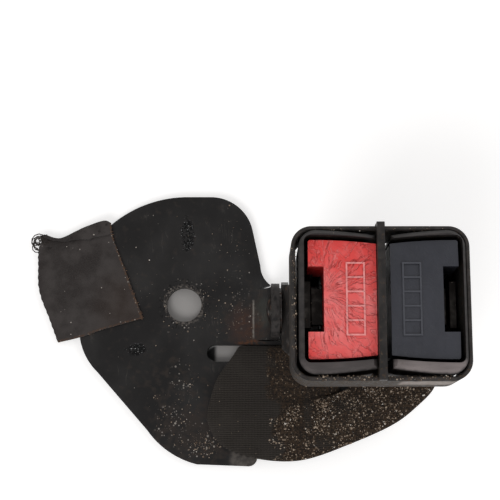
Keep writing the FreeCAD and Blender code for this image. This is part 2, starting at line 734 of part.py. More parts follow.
def make_frame(on_stalk):
    """The steel channel that carries tongue, latch and ejector."""
    inner_v = FRAME_HALF_V - FRAME_T
    neck_v = frame_neck_half_v
    base = ubox(FRAME_BASE_U, frame_outer_u, -neck_v, neck_v, frame_foot, frame_top)
    nipped = edges_at(base, lambda c, e: abs(c.z - frame_top) < NOTHING and e.Length < FRAME_T + 0.1)
    wide = ubox(FRAME_BASE_U, frame_outer_u, -FRAME_HALF_V, FRAME_HALF_V, frame_foot, frame_neck_z)
    frame = base.makeChamfer(FRAME_NIP, nipped).fuse(wide)
    if not on_stalk:
        tail = ubox(FRAME_BASE_U, frame_outer_u, -tail_half_v, tail_half_v, tail_foot, housing_foot - SLIP)
        tail = tail.fuse(ubox(FRAME_BASE_U, frame_outer_u, -FRAME_HALF_V, FRAME_HALF_V, tail_foot, frame_foot))
        tail = tail.removeSplitter()
        corners = edges_at(
            tail,
            lambda c, e: abs(abs(c.y - HEAD_Y) - tail_half_v) < NOTHING and e.Length < FRAME_T + 0.1,
        )
        tail = tail.makeFillet(TAIL_R, corners)
        slot_foot = tail_foot + TAIL_BAR
        slot = ubox(
            FRAME_BASE_U - 1,
            frame_outer_u + 1,
            -tail_slot_half_v,
            tail_slot_half_v,
            slot_foot,
            slot_foot + TAIL_SLOT_H,
        )
        ends = edges_at(slot, lambda c, e: abs(e.Length - FRAME_T - 2) < NOTHING)
        frame = frame.fuse(tail.cut(slot.makeFillet(TAIL_SLOT_H / 2 - 0.1, ends)))
    for v in (-1, 1):
        v0, v1 = sorted((v * inner_v, v * FRAME_HALF_V))
        flange = ubox(frame_flange_u, FRAME_BASE_U, v0, v1, flange_foot, latch_top - 0.5)
        nip = edges_at(
            flange,
            lambda c, e: abs(c.x - head_x + frame_flange_u) < NOTHING and e.Length < FRAME_T + 0.1,
        )
        frame = frame.fuse(flange.makeChamfer(FLANGE_NIP, nip))
    tab = ubox(
        pin_u + PIN_D / 2 + 0.8,
        FRAME_BASE_U,
        -EJECTOR_SPRING_R - EJECTOR_WIRE,
        EJECTOR_SPRING_R + EJECTOR_WIRE,
        spring_seat_z - SEAT_TAB_T,
        spring_seat_z,
    )
    frame = frame.fuse(tab).removeSplitter()
    window = ubox(
        FRAME_BASE_U - 1,
        frame_outer_u + 1,
        -NOSE_HALF_V - WINDOW_PLAY,
        NOSE_HALF_V + WINDOW_PLAY,
        nose_foot - WINDOW_PLAY,
        nose_foot + NOSE_H + 2 * WINDOW_PLAY,
    )
    frame = frame.cut(window)
    pin_start = vec(head_x - pin_u, HEAD_Y - FRAME_HALF_V - 1, pin_z)
    frame = frame.cut(cylinder(PIN_D / 2, pin_start, vec(0, 1, 0), 2 * FRAME_HALF_V + 2))
    if on_stalk:
        for v in (-STALK_RIVET_V, STALK_RIVET_V):
            start = vec(0, HEAD_Y + v, stalk_rivet_z)
            frame = frame.cut(cylinder(STALK_RIVET_D / 2, start, vec(1, 0, 0), head_x))
    return frame


def make_latch_pin():
    """The pin on which the latch tilts, riveted into both flanges."""
    start = vec(head_x - pin_u, HEAD_Y - FRAME_HALF_V - PIN_HEAD_T, pin_z)
    length = 2 * (FRAME_HALF_V + PIN_HEAD_T)
    pin = cylinder(PIN_D / 2, start, vec(0, 1, 0), length)
    far = vec(start.x, start.y + length - PIN_HEAD_T, start.z)
    for end in (start, far):
        pin = pin.fuse(cylinder(PIN_HEAD_D / 2, end, vec(0, 1, 0), PIN_HEAD_T))
    return pin.removeSplitter()


def make_latch():
    """The spring-loaded latch plate whose nose drops through the tongue's window."""
    u0 = pin_u - LATCH_T / 2
    u1 = pin_u + LATCH_T / 2
    wing = ubox(u0, u1, -latch_half_v, latch_half_v, pin_z, latch_top)
    tops = edges_at(wing, lambda c, e: abs(c.z - latch_top) < NOTHING and e.Length < LATCH_T + 0.1)
    latch = wing.makeChamfer(LATCH_BEVEL, tops)
    latch = latch.fuse(ubox(u0, u1, -NOSE_HALF_V, NOSE_HALF_V, latch_top - 1, nose_foot + NOSE_H))
    nose = ubox(u1 - 1, nose_tip_u, -NOSE_HALF_V, NOSE_HALF_V, nose_foot, nose_foot + NOSE_H)
    tip = edges_at(
        nose,
        lambda c, e: abs(c.x - head_x + nose_tip_u) < NOTHING and abs(c.z - nose_foot - NOSE_H) < NOTHING,
    )
    latch = latch.fuse(nose.makeChamfer(NOSE_BEVEL, tip))
    barrel = cylinder(
        PIN_D / 2 + BARREL_WALL,
        vec(head_x - pin_u, HEAD_Y - latch_half_v, pin_z),
        vec(0, 1, 0),
        2 * latch_half_v,
    )
    latch = latch.fuse(barrel).removeSplitter()
    window = ubox(
        u0 - 2,
        u1 + 2,
        -LATCH_WINDOW_HALF_V,
        LATCH_WINDOW_HALF_V,
        pin_z + PIN_D / 2 + 1.4,
        ejector_top - EJECTOR_ROOF + 0.6,
    )
    latch = latch.cut(window)
    hollow = ubox(
        u0 - 2,
        u1 + 2,
        -LATCH_WINDOW_HALF_V,
        LATCH_WINDOW_HALF_V,
        pin_z - PIN_D / 2 - 2,
        pin_z + PIN_D / 2 + 1.5,
    )
    latch = latch.cut(hollow)
    bore = cylinder(
        PIN_D / 2 + RUNNING_FIT,
        vec(head_x - pin_u, HEAD_Y - latch_half_v - 1, pin_z),
        vec(0, 1, 0),
        2 * latch_half_v + 2,
    )
    return latch.cut(bore)


def make_latch_spring():
    """The bent leaf between the inner shell and the back of the latch."""
    foot_x = head_x - cavity_inner_u
    tip_x = head_x - pin_u + LATCH_T / 2 + SLIP
    low = pin_z + LEAF_FOOT_RISE
    high = low + LEAF_HOLD
    knee = low + LEAF_TOE * 0.4
    t = LEAF_T
    steps = [
        (foot_x - t, low),
        (foot_x - t, high),
        (tip_x + t, knee),
        (tip_x + t, low - LEAF_TOE),
        (tip_x, low - LEAF_TOE),
        (tip_x, knee + t * 1.4),
        (foot_x - t, high + t * 1.4),
        (foot_x, high),
    ]
    y0 = HEAD_Y + LATCH_WINDOW_HALF_V + 0.6
    face = outline((foot_x, low), steps, upright_y(y0))
    return face.extrude(vec(0, 2 * LEAF_HALF_V, 0))


def make_ejector():
    """The plastic slide that pushes the tongue out, slotted for its spring."""
    u0 = FRAME_BASE_U - SLIP - EJECTOR_T
    u1 = FRAME_BASE_U - SLIP
    foot = ejector_top - EJECTOR_L
    slide = ubox(u0, u1, -EJECTOR_HALF_V, EJECTOR_HALF_V, foot, ejector_top)
    corners = edges_at(slide, lambda c, e: abs(e.Length - EJECTOR_T) < NOTHING)
    slide = slide.makeFillet(EJECTOR_R, corners)
    half = EJECTOR_SPRING_R + EJECTOR_WIRE / 2 + SLIP
    pocket = ubox(u0 - 1, u1 + 1, -half, half, foot - 1, ejector_top - EJECTOR_ROOF)
    return slide.cut(pocket)


def make_ejector_spring():
    """The coil spring inside the ejector's slot."""
    u = FRAME_BASE_U - SLIP - EJECTOR_SPRING_R - EJECTOR_WIRE / 2
    top = ejector_top - EJECTOR_ROOF - 0.1
    seat = spring_seat_z + 0.1
    return coil(EJECTOR_SPRING_R, EJECTOR_WIRE, EJECTOR_TURNS, head_x - u, HEAD_Y, seat, top)


def make_button_spring():
    """The coil spring that returns the button."""
    top = button_top - BUTTON_CROWN - BUTTON_WALL - 0.3
    x = head_x - BUTTON_SPRING_U
    return coil(BUTTON_SPRING_R, BUTTON_WIRE, BUTTON_TURNS, x, HEAD_Y, button_seat_z + 0.1, top)


def make_button():
    """The push button: a crowned cap with a notch for the tongue and two wedge legs."""
    g = BUTTON_GAP
    inner_u = MOUTH_INNER_U
    outer_u = mouth_outer_u - g
    cap = cushion(
        inner_u,
        outer_u,
        mouth_half_v - g,
        mouth_end_half_v - g,
        MOUTH_R - g,
        button_foot,
        button_top,
    )
    half_chord = mouth_half_v
    crown_r = (half_chord ** 2 + BUTTON_CROWN ** 2) / (2 * BUTTON_CROWN)
    crown = cylinder(
        crown_r,
        vec(head_x - outer_u - 1, HEAD_Y, button_top - crown_r),
        vec(1, 0, 0),
        outer_u - inner_u + 2,
    )
    cap = cap.common(crown)
    w = BUTTON_WALL
    hollow = cushion(
        inner_u + w,
        outer_u - w,
        mouth_half_v - g - w,
        mouth_end_half_v - g - w,
        0.6,
        button_foot - 1,
        button_top - BUTTON_CROWN - w,
    )
    solid_notch = ubox(
        notch_u - w, outer_u, -NOTCH_HALF_V - w, NOTCH_HALF_V + w, button_foot, button_top - BUTTON_CROWN - 0.5
    )
    cap = cap.cut(hollow).fuse(solid_notch.common(cap_outline(inner_u, outer_u)))
    notch = ubox(notch_u, outer_u + 2, -NOTCH_HALF_V, NOTCH_HALF_V, button_foot - 1, button_top + 1)
    cap = cap.cut(notch)
    nose_room = ubox(
        notch_u - w - 1,
        notch_u + 1,
        -NOSE_HALF_V - 1.5 * WINDOW_PLAY,
        NOSE_HALF_V + 1.5 * WINDOW_PLAY,
        button_foot - 1,
        nose_foot + NOSE_H + BUTTON_TRAVEL + 2 * WINDOW_PLAY,
    )
    cap = cap.cut(nose_room)
    legs = []
    leg_foot = latch_top + SLIP
    back_x = head_x - pin_u - LATCH_T / 2 - LEG_W / 2
    wing_x = head_x - pin_u - LATCH_T / 2 - LEG_GAP
    root = button_foot + BUTTON_WALL
    leg_v = NOTCH_HALF_V + BUTTON_WALL / 4
    for v in (-1, 1):
        steps = [
            (back_x, leg_foot),
            (wing_x, leg_foot),
            (back_x + LEG_W, leg_foot + LEG_SLOPE),
            (back_x + LEG_W, root),
        ]
        y0 = min(v * leg_v, v * (leg_v + LEG_T))
        face = outline((back_x, root), steps, upright_y(HEAD_Y + y0))
        legs.append(face.extrude(vec(0, LEG_T, 0)))
        v0, v1 = sorted((v * leg_v, v * (mouth_end_half_v - g - w / 2)))
        legs.append(box(back_x, back_x + LEG_W, HEAD_Y + v0, HEAD_Y + v1, button_foot, button_foot + LEG_WEB_H))
    cap = cap.fuse(legs)
    return cap.fuse(grip_bars()).removeSplitter()


def cap_outline(inner_u, outer_u):
    """The button's plan outline as a tall block."""
    g = BUTTON_GAP
    return cushion(
        inner_u, outer_u, mouth_half_v - g, mouth_end_half_v - g, MOUTH_R - g, button_foot, button_top
    )


def grip_bars():
    """The raised ladder of plain cells that gives the finger a grip."""
    u0 = GRIP_U - GRIP_W / 2
    u1 = GRIP_U + GRIP_W / 2
    half = GRIP_CELLS * GRIP_CELL / 2
    low = button_top - BUTTON_CROWN - 0.8
    top = button_top + GRIP_H
    frame = ubox(u0, u1, -half - GRIP_LINE / 2, half + GRIP_LINE / 2, low, top)
    for i in range(GRIP_CELLS):
        v0 = -half + i * GRIP_CELL + GRIP_LINE / 2
        v1 = v0 + GRIP_CELL - GRIP_LINE
        frame = frame.cut(ubox(u0 + GRIP_LINE, u1 - GRIP_LINE, v0, v1, low - 1, top + 1))
    return frame


def webbing_loop(y0, y1, z0, z1, x0, x1):
    """A closed loop of webbing round a bar that lies along X."""
    t = STRAP_T
    g = STRAP_GAP
    outer = box(x0, x1, y0 - g - t, y1 + g + t, z0 - g - t, z1 + g + t)
    long_edges = edges_at(outer, lambda c, e: abs(e.Length - (x1 - x0)) < NOTHING)
    outer = outer.makeFillet(t * 0.9, long_edges)
    return outer.cut(box(x0 - 1, x1 + 1, y0 - g, y1 + g, z0 - g, z1 + g))


def sampled(points, count):
    """Evenly spaced points on a smooth curve through a few points."""
    curve = Part.BSplineCurve()
    curve.interpolate([vec(*p) for p in points])
    return [curve.value(curve.FirstParameter + curve.LastParameter * i / count) for i in range(count + 1)]


def ribbon(left, right, first, last, thickness):
    """A band between two edge curves, square to its own width and run."""
    pairs = list(zip(sampled(left, STRAP_STEPS), sampled(right, STRAP_STEPS)))
    centres = [(a + b) * 0.5 for a, b in pairs]
    wires = []
    for i, (a, b) in enumerate(pairs):
        if i == 0:
            run = first
        elif i == len(pairs) - 1:
            run = last
        else:
            run = centres[i + 1] - centres[i - 1]
        n = run.cross(b - a)
        n.normalize()
        n.multiply(thickness / 2)
        wires.append(Part.makePolygon([a - n, b - n, b + n, a + n, a - n]))
    return Part.makeLoft(wires, True, True)


def make_anchor_loop():
    """The sewn loop of webbing round the plate's raised bar."""
    return webbing_loop(
        plate_bar_foot, plate_bar_top, BAR_LIFT, BAR_LIFT + PLATE_T, strap_left, strap_right
    )


def make_buckle_loop():
    """The sewn loop of webbing round the tail bar of the right buckle's frame."""
    t = STRAP_T
    g = STRAP_GAP
    x0 = tail_x
    x1 = x0 + FRAME_T
    z0 = tail_foot
    z1 = tail_foot + TAIL_BAR
    y0 = HEAD_Y - TAIL_LOOP_HALF_V
    y1 = HEAD_Y + TAIL_LOOP_HALF_V
    outer = box(x0 - g - t, x1 + g + t, y0, y1, z0 - g - t, z1 + g + t)
    long_edges = edges_at(outer, lambda c, e: abs(e.Length - (y1 - y0)) < NOTHING)
    outer = outer.makeFillet(t * 0.9, long_edges)
    return outer.cut(box(x0 - g, x1 + g, y0 - 1, y1 + 1, z0 - g, z1 + g))


def make_belt_strap():
    """The doubled webbing between its two loops: out over the plate, round and up."""
    thick = 2 * STRAP_T
    left = strap_left
    right = strap_right
    start_y = plate_bar_foot - 2 * STRAP_GAP - STRAP_T
    start_z = PLATE_T + SLIP + STRAP_T
    end_x = tail_x + FRAME_T / 2
    end_z = tail_foot - 2 * STRAP_GAP - STRAP_T
    end_half = TAIL_LOOP_HALF_V
    outer = [
        (left - 7.7, start_y, start_z),
        (left - 8.3, start_y - 8.5, start_z),
        (left - 3.2, start_y - 17.0, start_z + 0.1),
        (left + 8.3, start_y - 21.8, start_z + 0.8),
        (left + 24.3, start_y - 22.8, start_z + 2.1),
        (end_x - 28.1, HEAD_Y - 42.7, end_z - 7.8),
        (end_x - 13.2, HEAD_Y - 35.3, end_z - 5.2),
        (end_x - 3.6, HEAD_Y - 28.5, end_z - 3.6),
        (end_x + 0.4, HEAD_Y - 22.4, end_z - 2.4),
        (end_x, HEAD_Y - end_half, end_z),
    ]
    inner = [
        (right, start_y, start_z),
        (right + 0.4, start_y - 1.8, start_z + 0.6),
        (right + 1.4, start_y - 2.6, start_z + 1.9),
        (right + 3.0, start_y - 1.6, start_z + 3.8),
        (right + 5.6, start_y + 2.6, start_z + 6.2),
        (end_x - 22.0, HEAD_Y - 16.0, end_z - 3.8),
        (end_x - 12.5, HEAD_Y - 5.0, end_z - 2.8),
        (end_x - 3.5, HEAD_Y + 6.0, end_z - 2.4),
        (end_x, HEAD_Y + end_half, end_z),
    ]
    return ribbon(outer, inner, vec(0, -1, 0), vec(0, 0, 1), thick)


def make_cloth_pad():
    """The thin cloth pad stuck over the plate's left side."""
    steps = [
        (PAD_LEFT + 17.7, PAD_TOP - 2.4),
        (PAD_LEFT + 8.5, PAD_TOP - 6.5),
        (PAD_LEFT + 2.1, PAD_TOP - 5.0),
        ((PAD_LEFT, PAD_FOOT + 28.0), (PAD_LEFT + 0.9, PAD_FOOT + 19.3)),
        (PAD_LEFT + 8.4, PAD_FOOT),
        (PAD_RIGHT, PAD_FOOT + 8.9),
        (PAD_RIGHT - 6.9, PAD_TOP - 17.9),
    ]
    return outline((PAD_RIGHT - 13.4, PAD_TOP), steps, flat(PLATE_T)).extrude(vec(0, 0, PAD_T))


def make_all():
    """Every piece by its name."""
    pieces = {
        "anchor_plate": make_anchor_plate(),
        "cloth_pad": make_cloth_pad(),
        "anchor_strap_loop": make_anchor_loop(),
        "belt_strap": make_belt_strap(),
        "buckle_strap_loop": make_buckle_loop(),
        "pivot_rivet": make_pivot_rivet(),
        "pivot_washer": make_pivot_washer(),
        "stalk": make_stalk(),
        "stalk_rivets": make_stalk_rivets(),
        "twin_sleeve": make_sleeve(),
        "divider_plate": make_divider(),
    }
    shared = {
        "button": make_button(),
        "button_spring": make_button_spring(),
        "latch": make_latch(),
        "latch_pin": make_latch_pin(),
        "latch_spring": make_latch_spring(),
        "ejector": make_ejector(),
        "ejector_spring": make_ejector_spring(),
    }
    for side in ("red", "black"):
        on_stalk = side == "red"
        outer, inner = make_shells(on_stalk)
        own = dict(shared, outer_shell=outer, inner_shell=inner, frame=make_frame(on_stalk))
        for name, shape in own.items():
            pieces[side + "_" + name] = shape if on_stalk else mirrored(shape)
    return pieces


os.makedirs("parts", exist_ok=True)
for name, shape in make_all().items():
    ok = shape.isValid() and all(s.isClosed() for s in shape.Shells)
    bounds = shape.BoundBox
    print(
        f"{name:22s} {'ok' if ok else 'BAD'} solids {len(shape.Solids)} volume {shape.Volume:9.1f}"
        f"  X {bounds.XMin:7.2f} {bounds.XMax:7.2f}  Y {bounds.YMin:7.2f} {bounds.YMax:7.2f}"
        f"  Z {bounds.ZMin:7.2f} {bounds.ZMax:7.2f}"
    )
    shape.exportStep(f"parts/{name}.step")
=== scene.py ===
"""Dresses the twin rear seat belt buckle: webbing, cloth pad, worn steel and dusty plastic.

Lengths inside the classes are in millimetres in the part's own frame, with the bolt hole's
centre on the plate's underside at the origin, and become metres only where a mesh is made.
"""

import enum
import logging
import math
import random
from dataclasses import dataclass
from typing import Callable, NamedTuple, Optional, Sequence, Union

import bmesh
import bpy
import mathutils
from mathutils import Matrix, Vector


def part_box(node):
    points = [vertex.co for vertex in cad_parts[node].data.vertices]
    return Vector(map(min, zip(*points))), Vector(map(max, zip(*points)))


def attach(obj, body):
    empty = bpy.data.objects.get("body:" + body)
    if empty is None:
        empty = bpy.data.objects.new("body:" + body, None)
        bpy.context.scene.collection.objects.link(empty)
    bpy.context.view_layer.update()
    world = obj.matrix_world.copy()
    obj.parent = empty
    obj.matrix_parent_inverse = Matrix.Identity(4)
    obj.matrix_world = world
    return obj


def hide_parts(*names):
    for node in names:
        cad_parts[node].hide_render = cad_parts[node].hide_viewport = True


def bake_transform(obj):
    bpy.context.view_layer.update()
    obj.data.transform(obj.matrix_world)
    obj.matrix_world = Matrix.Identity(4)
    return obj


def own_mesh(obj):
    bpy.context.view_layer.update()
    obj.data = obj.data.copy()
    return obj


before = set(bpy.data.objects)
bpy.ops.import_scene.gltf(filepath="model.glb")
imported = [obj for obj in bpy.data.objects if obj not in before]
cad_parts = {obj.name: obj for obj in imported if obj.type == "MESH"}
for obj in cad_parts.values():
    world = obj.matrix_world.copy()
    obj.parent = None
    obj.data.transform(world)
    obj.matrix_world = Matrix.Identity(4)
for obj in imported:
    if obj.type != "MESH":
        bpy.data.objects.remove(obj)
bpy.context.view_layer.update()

log = logging.getLogger("belt_buckle")

MM = 0.001
Colour = tuple[float, float, float]
Point = tuple[float, float, float]
Pair = tuple[float, float]
Table = Sequence[Sequence[float]]
Row = Callable[[float], list[float]]
Material = bpy.types.Material
Object = bpy.types.Object


def corners(node: str) -> tuple[list[float], list[float]]:
    """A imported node's lowest and highest corners, in millimetres."""
    low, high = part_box(node)
    return [v / MM for v in low], [v / MM for v in high]


def middle(node: str) -> Pair:
    """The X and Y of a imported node's middle, in millimetres."""
    low, high = corners(node)
    return (low[0] + high[0]) / 2, (low[1] + high[1]) / 2


class Side(enum.Enum):
    """The two buckles, by the colour of their buttons."""

    RED = "red"
    BLACK = "black"


class Thread(NamedTuple):
    """One bent thread's root, first direction, length, turn in all and rise, in mm and radians."""

    root: Point
    heading: float
    length: float
    curl: float
    rise: float


class Layer(enum.Enum):
    """The two layers of the doubled webbing, as offsets along its face."""

    UPPER = 1.0
    LOWER = -1.0


# Shader maths


def operator(kind: str) -> Callable[..., "Value"]:
    """Makes a method that adds one Math node.

    Args:
        kind: The node's operation.

    Returns:
        The method.
    """

    def apply(self: "Value", *others: "Number") -> "Value":
        """Adds the node."""
        return self.maths(kind, *others)

    return apply


class Value:
    """A shader output whose arithmetic adds Math nodes."""

    __add__ = __radd__ = operator("ADD")
    __sub__ = operator("SUBTRACT")
    __mul__ = __rmul__ = operator("MULTIPLY")
    __truediv__ = operator("DIVIDE")
    __pow__ = operator("POWER")
    __abs__ = operator("ABSOLUTE")
    sine = operator("SINE")
    most = operator("MAXIMUM")

    def __init__(self, graph: "Graph", socket: bpy.types.NodeSocket) -> None:
        """Keeps the graph that owns the socket."""
        self.graph = graph
        self.socket = socket

    def __rsub__(self, other: float) -> "Value":
        """Is taken away from a number."""
        return self * -1.0 + other

    def maths(self, operation: str, *others: "Number") -> "Value":
        """Adds one Math node and returns its output."""
        inputs = dict(enumerate((self,) + others))
        return self.graph.node("ShaderNodeMath", {"operation": operation}, inputs)

    def capped(self) -> "Value":
        """The value, at most 1."""
        return self.maths("MINIMUM", 1.0)


Number = Union[Value, float]
Paint = Union[Value, Colour]


class Graph:
    """A node tree, with patterns in millimetres of the part's own frame and the colour laid so far."""

    def __init__(self, name: str, world: bool = False) -> None:
        """Starts an empty material, or a world."""
        self.owner = (bpy.data.worlds if world else bpy.data.materials).new(name)
        self.owner.use_nodes = True
        self.tree = self.owner.node_tree
        self.tree.nodes.clear()
        self.end = "ShaderNodeOutputWorld" if world else "ShaderNodeOutputMaterial"
        self.colour: Paint = (0.0, 0.0, 0.0)
        if not world:
            self.place = self.scaled(self.node("ShaderNodeTexCoord", output="Object"), 1000.0)
            self.x, self.y, self.z = self.parts(self.place)

    def node(
        self,
        kind: str,
        settings: Optional[dict] = None,
        inputs: Optional[dict] = None,
        output: Union[int, str] = 0,
    ) -> Value:
        """Adds one node.

        Args:
            kind: The node's type.
            settings: Its own settings, made first.
            inputs: Values or outputs for its sockets, by name or number.
            output: The output to return.

        Returns:
            The chosen output.
        """
        made = self.tree.nodes.new(kind)
        for name, value in (settings or {}).items():
            setattr(made, name, value)
        for key, value in (inputs or {}).items():
            self.fill(made.inputs[key], value)
        return Value(self, made.outputs[output])

    def fill(self, socket: bpy.types.NodeSocket, value: Union[Value, float, Sequence[float]]) -> None:
        """Links an output to a socket, or sets the socket's own value."""
        if isinstance(value, Value):
            self.tree.links.new(value.socket, socket)
        elif isinstance(value, (tuple, list)) and socket.type == "RGBA":
            socket.default_value = (*value, 1.0)
        else:
            socket.default_value = value

    def parts(self, vector: Value) -> tuple[Value, Value, Value]:
        """The three parts of a vector."""
        split = self.tree.nodes.new("ShaderNodeSeparateXYZ")
        self.tree.links.new(vector.socket, split.inputs[0])
        return tuple(Value(self, split.outputs[i]) for i in range(3))

    def scaled(self, vector: Value, factor: float) -> Value:
        """A vector times a number."""
        return self.node("ShaderNodeVectorMath", {"operation": "SCALE"}, {0: vector, "Scale": factor})

    def stretched(self, vector: Value, factors: Point) -> Value:
        """A vector times a factor for each axis."""
        return self.node("ShaderNodeVectorMath", {"operation": "MULTIPLY"}, {0: vector, 1: factors})

    def noise(
        self, size: float, detail: float = 3.0, at: Optional[Value] = None, warp: float = 0.0
    ) -> Value:
        """Noise about 0.5, with clouds of a size in millimetres, read at a place in the part."""
        inputs = {"Vector": at or self.place, "Scale": 1.0 / size, "Detail": detail, "Distortion": warp}
        return self.node("ShaderNodeTexNoise", {"noise_dimensions": "3D"}, inputs)

    def jitter(self, reach: float, size: float, detail: float = 3.0) -> Value:
        """Noise about 0, up to half the reach each way."""
        return (self.noise(size, detail) - 0.5) * reach

    def cloud(self, size: float, detail: float, low: float, high: float) -> Value:
        """Soft patches, where noise passes from a low to a high level."""
        return self.smooth(self.noise(size, detail), low, high)

    def specks(self, size: float, share: float, fill: float) -> Value:
        """Scattered round specks of many sizes.

        Args:
            size: The spacing of the places where one may be, in millimetres.
            share: The share of these places that hold one.
            fill: A speck's radius as a share of the spacing.

        Returns:
            A mask that is 1 on a speck.
        """
        cells = self.tree.nodes.new("ShaderNodeTexVoronoi")
        self.fill(cells.inputs["Vector"], self.place)
        self.fill(cells.inputs["Scale"], 1.0 / size)
        chance, sort, _ = self.parts(Value(self, cells.outputs["Color"]))
        here = self.smooth(chance, share, share * 0.7)
        radius = sort * fill + fill * 0.3
        return self.smooth(Value(self, cells.outputs["Distance"]) / radius, 1.0, 0.6) * here

    def smooth(self, value: Value, low: float, high: float) -> Value:
        """A soft step from 0 at low to 1 at high."""
        inputs = {0: value, 1: low, 2: high, 3: 0.0, 4: 1.0}
        return self.node("ShaderNodeMapRange", {"interpolation_type": "SMOOTHSTEP", "clamp": True}, inputs)

    def band(self, value: Value, low: float, high: float, soft: float) -> Value:
        """A mask that is 1 between two values."""
        return self.smooth(value, low - soft, low + soft) * self.smooth(value, high + soft, high - soft)

    def spot(
        self, x: float, y: float, rx: float, ry: float, soft: float = 0.5, ragged: float = 0.0
    ) -> Value:
        """An oval mask seen from above.

        Args:
            x: The middle's X in millimetres.
            y: The middle's Y in millimetres.
            rx: The half width.
            ry: The half height.
            soft: The share of its radius over which it fades.
            ragged: How far noise breaks its outline.

        Returns:
            A mask that is 1 inside.
        """
        reach = (((self.x - x) / rx) ** 2.0 + ((self.y - y) / ry) ** 2.0).maths("SQRT")
        if ragged:
            reach = reach + self.jitter(ragged, max(rx, ry) * 0.6, 4.0)
        return self.smooth(reach, 1.0 + soft, 1.0 - soft)

    def spots(self, rows: Table) -> Value:
        """Several spots added up, where each row holds spot's values and then a weight."""
        first, *others = [self.spot(*row[:-1]) * row[-1] for row in rows]
        return sum(others, first)

    def mix(self, share: Number, low: Paint, high: Paint) -> Value:
        """A colour between two colours."""
        settings = {"data_type": "RGBA", "clamp_factor": True}
        return self.node("ShaderNodeMix", settings, {0: share, 6: low, 7: high}, 2)

    def base(self, share: Number, low: Paint, high: Paint) -> None:
        """Starts the colour as a mix of two."""
        self.colour = self.mix(share, low, high)

    def lay(self, share: Number, colour: Paint) -> None:
        """Lays a colour over the rest, by its share at each place."""
        self.colour = self.mix(share, self.colour, colour)

    def relief(
        self, height: Value, depth: float, strength: float, under: Optional[Value] = None
    ) -> Value:
        """A bumped normal.

        Args:
            height: The height, from 0 to 1.
            depth: The depth that a height of 1 stands for, in millimetres.
            strength: The node's strength.
            under: A normal that is bumped already.

        Returns:
            The normal.
        """
        inputs = {"Height": height, "Distance": depth * MM, "Strength": strength}
        if under is not None:
            inputs["Normal"] = under
        return self.node("ShaderNodeBump", None, inputs)

    def close(
        self,
        roughness: Number,
        normal: Value,
        metallic: Number = 0.0,
        specular: float = 0.3,
        sheen: float = 0.0,
    ) -> Material:
        """Ends the graph in one surface shader of the colour laid so far.

        Args:
            roughness: The roughness.
            normal: The bumped normal.
            metallic: How metallic it is.
            specular: The strength of its plain reflection.
            sheen: The weight of its fabric sheen.

        Returns:
            The material.
        """
        inputs = {
            "Base Color": self.colour,
            "Roughness": roughness,
            "Metallic": metallic,
            "Specular IOR Level": specular,
            "Sheen Weight": sheen,
            "Normal": normal,
        }
        self.finish(self.node("ShaderNodeBsdfPrincipled", None, inputs))
        return self.owner

    def finish(self, shader: Value) -> None:
        """Links a shader to the output."""
        end = self.tree.nodes.new(self.end)
        self.tree.links.new(shader.socket, end.inputs["Surface"])


# Finishes


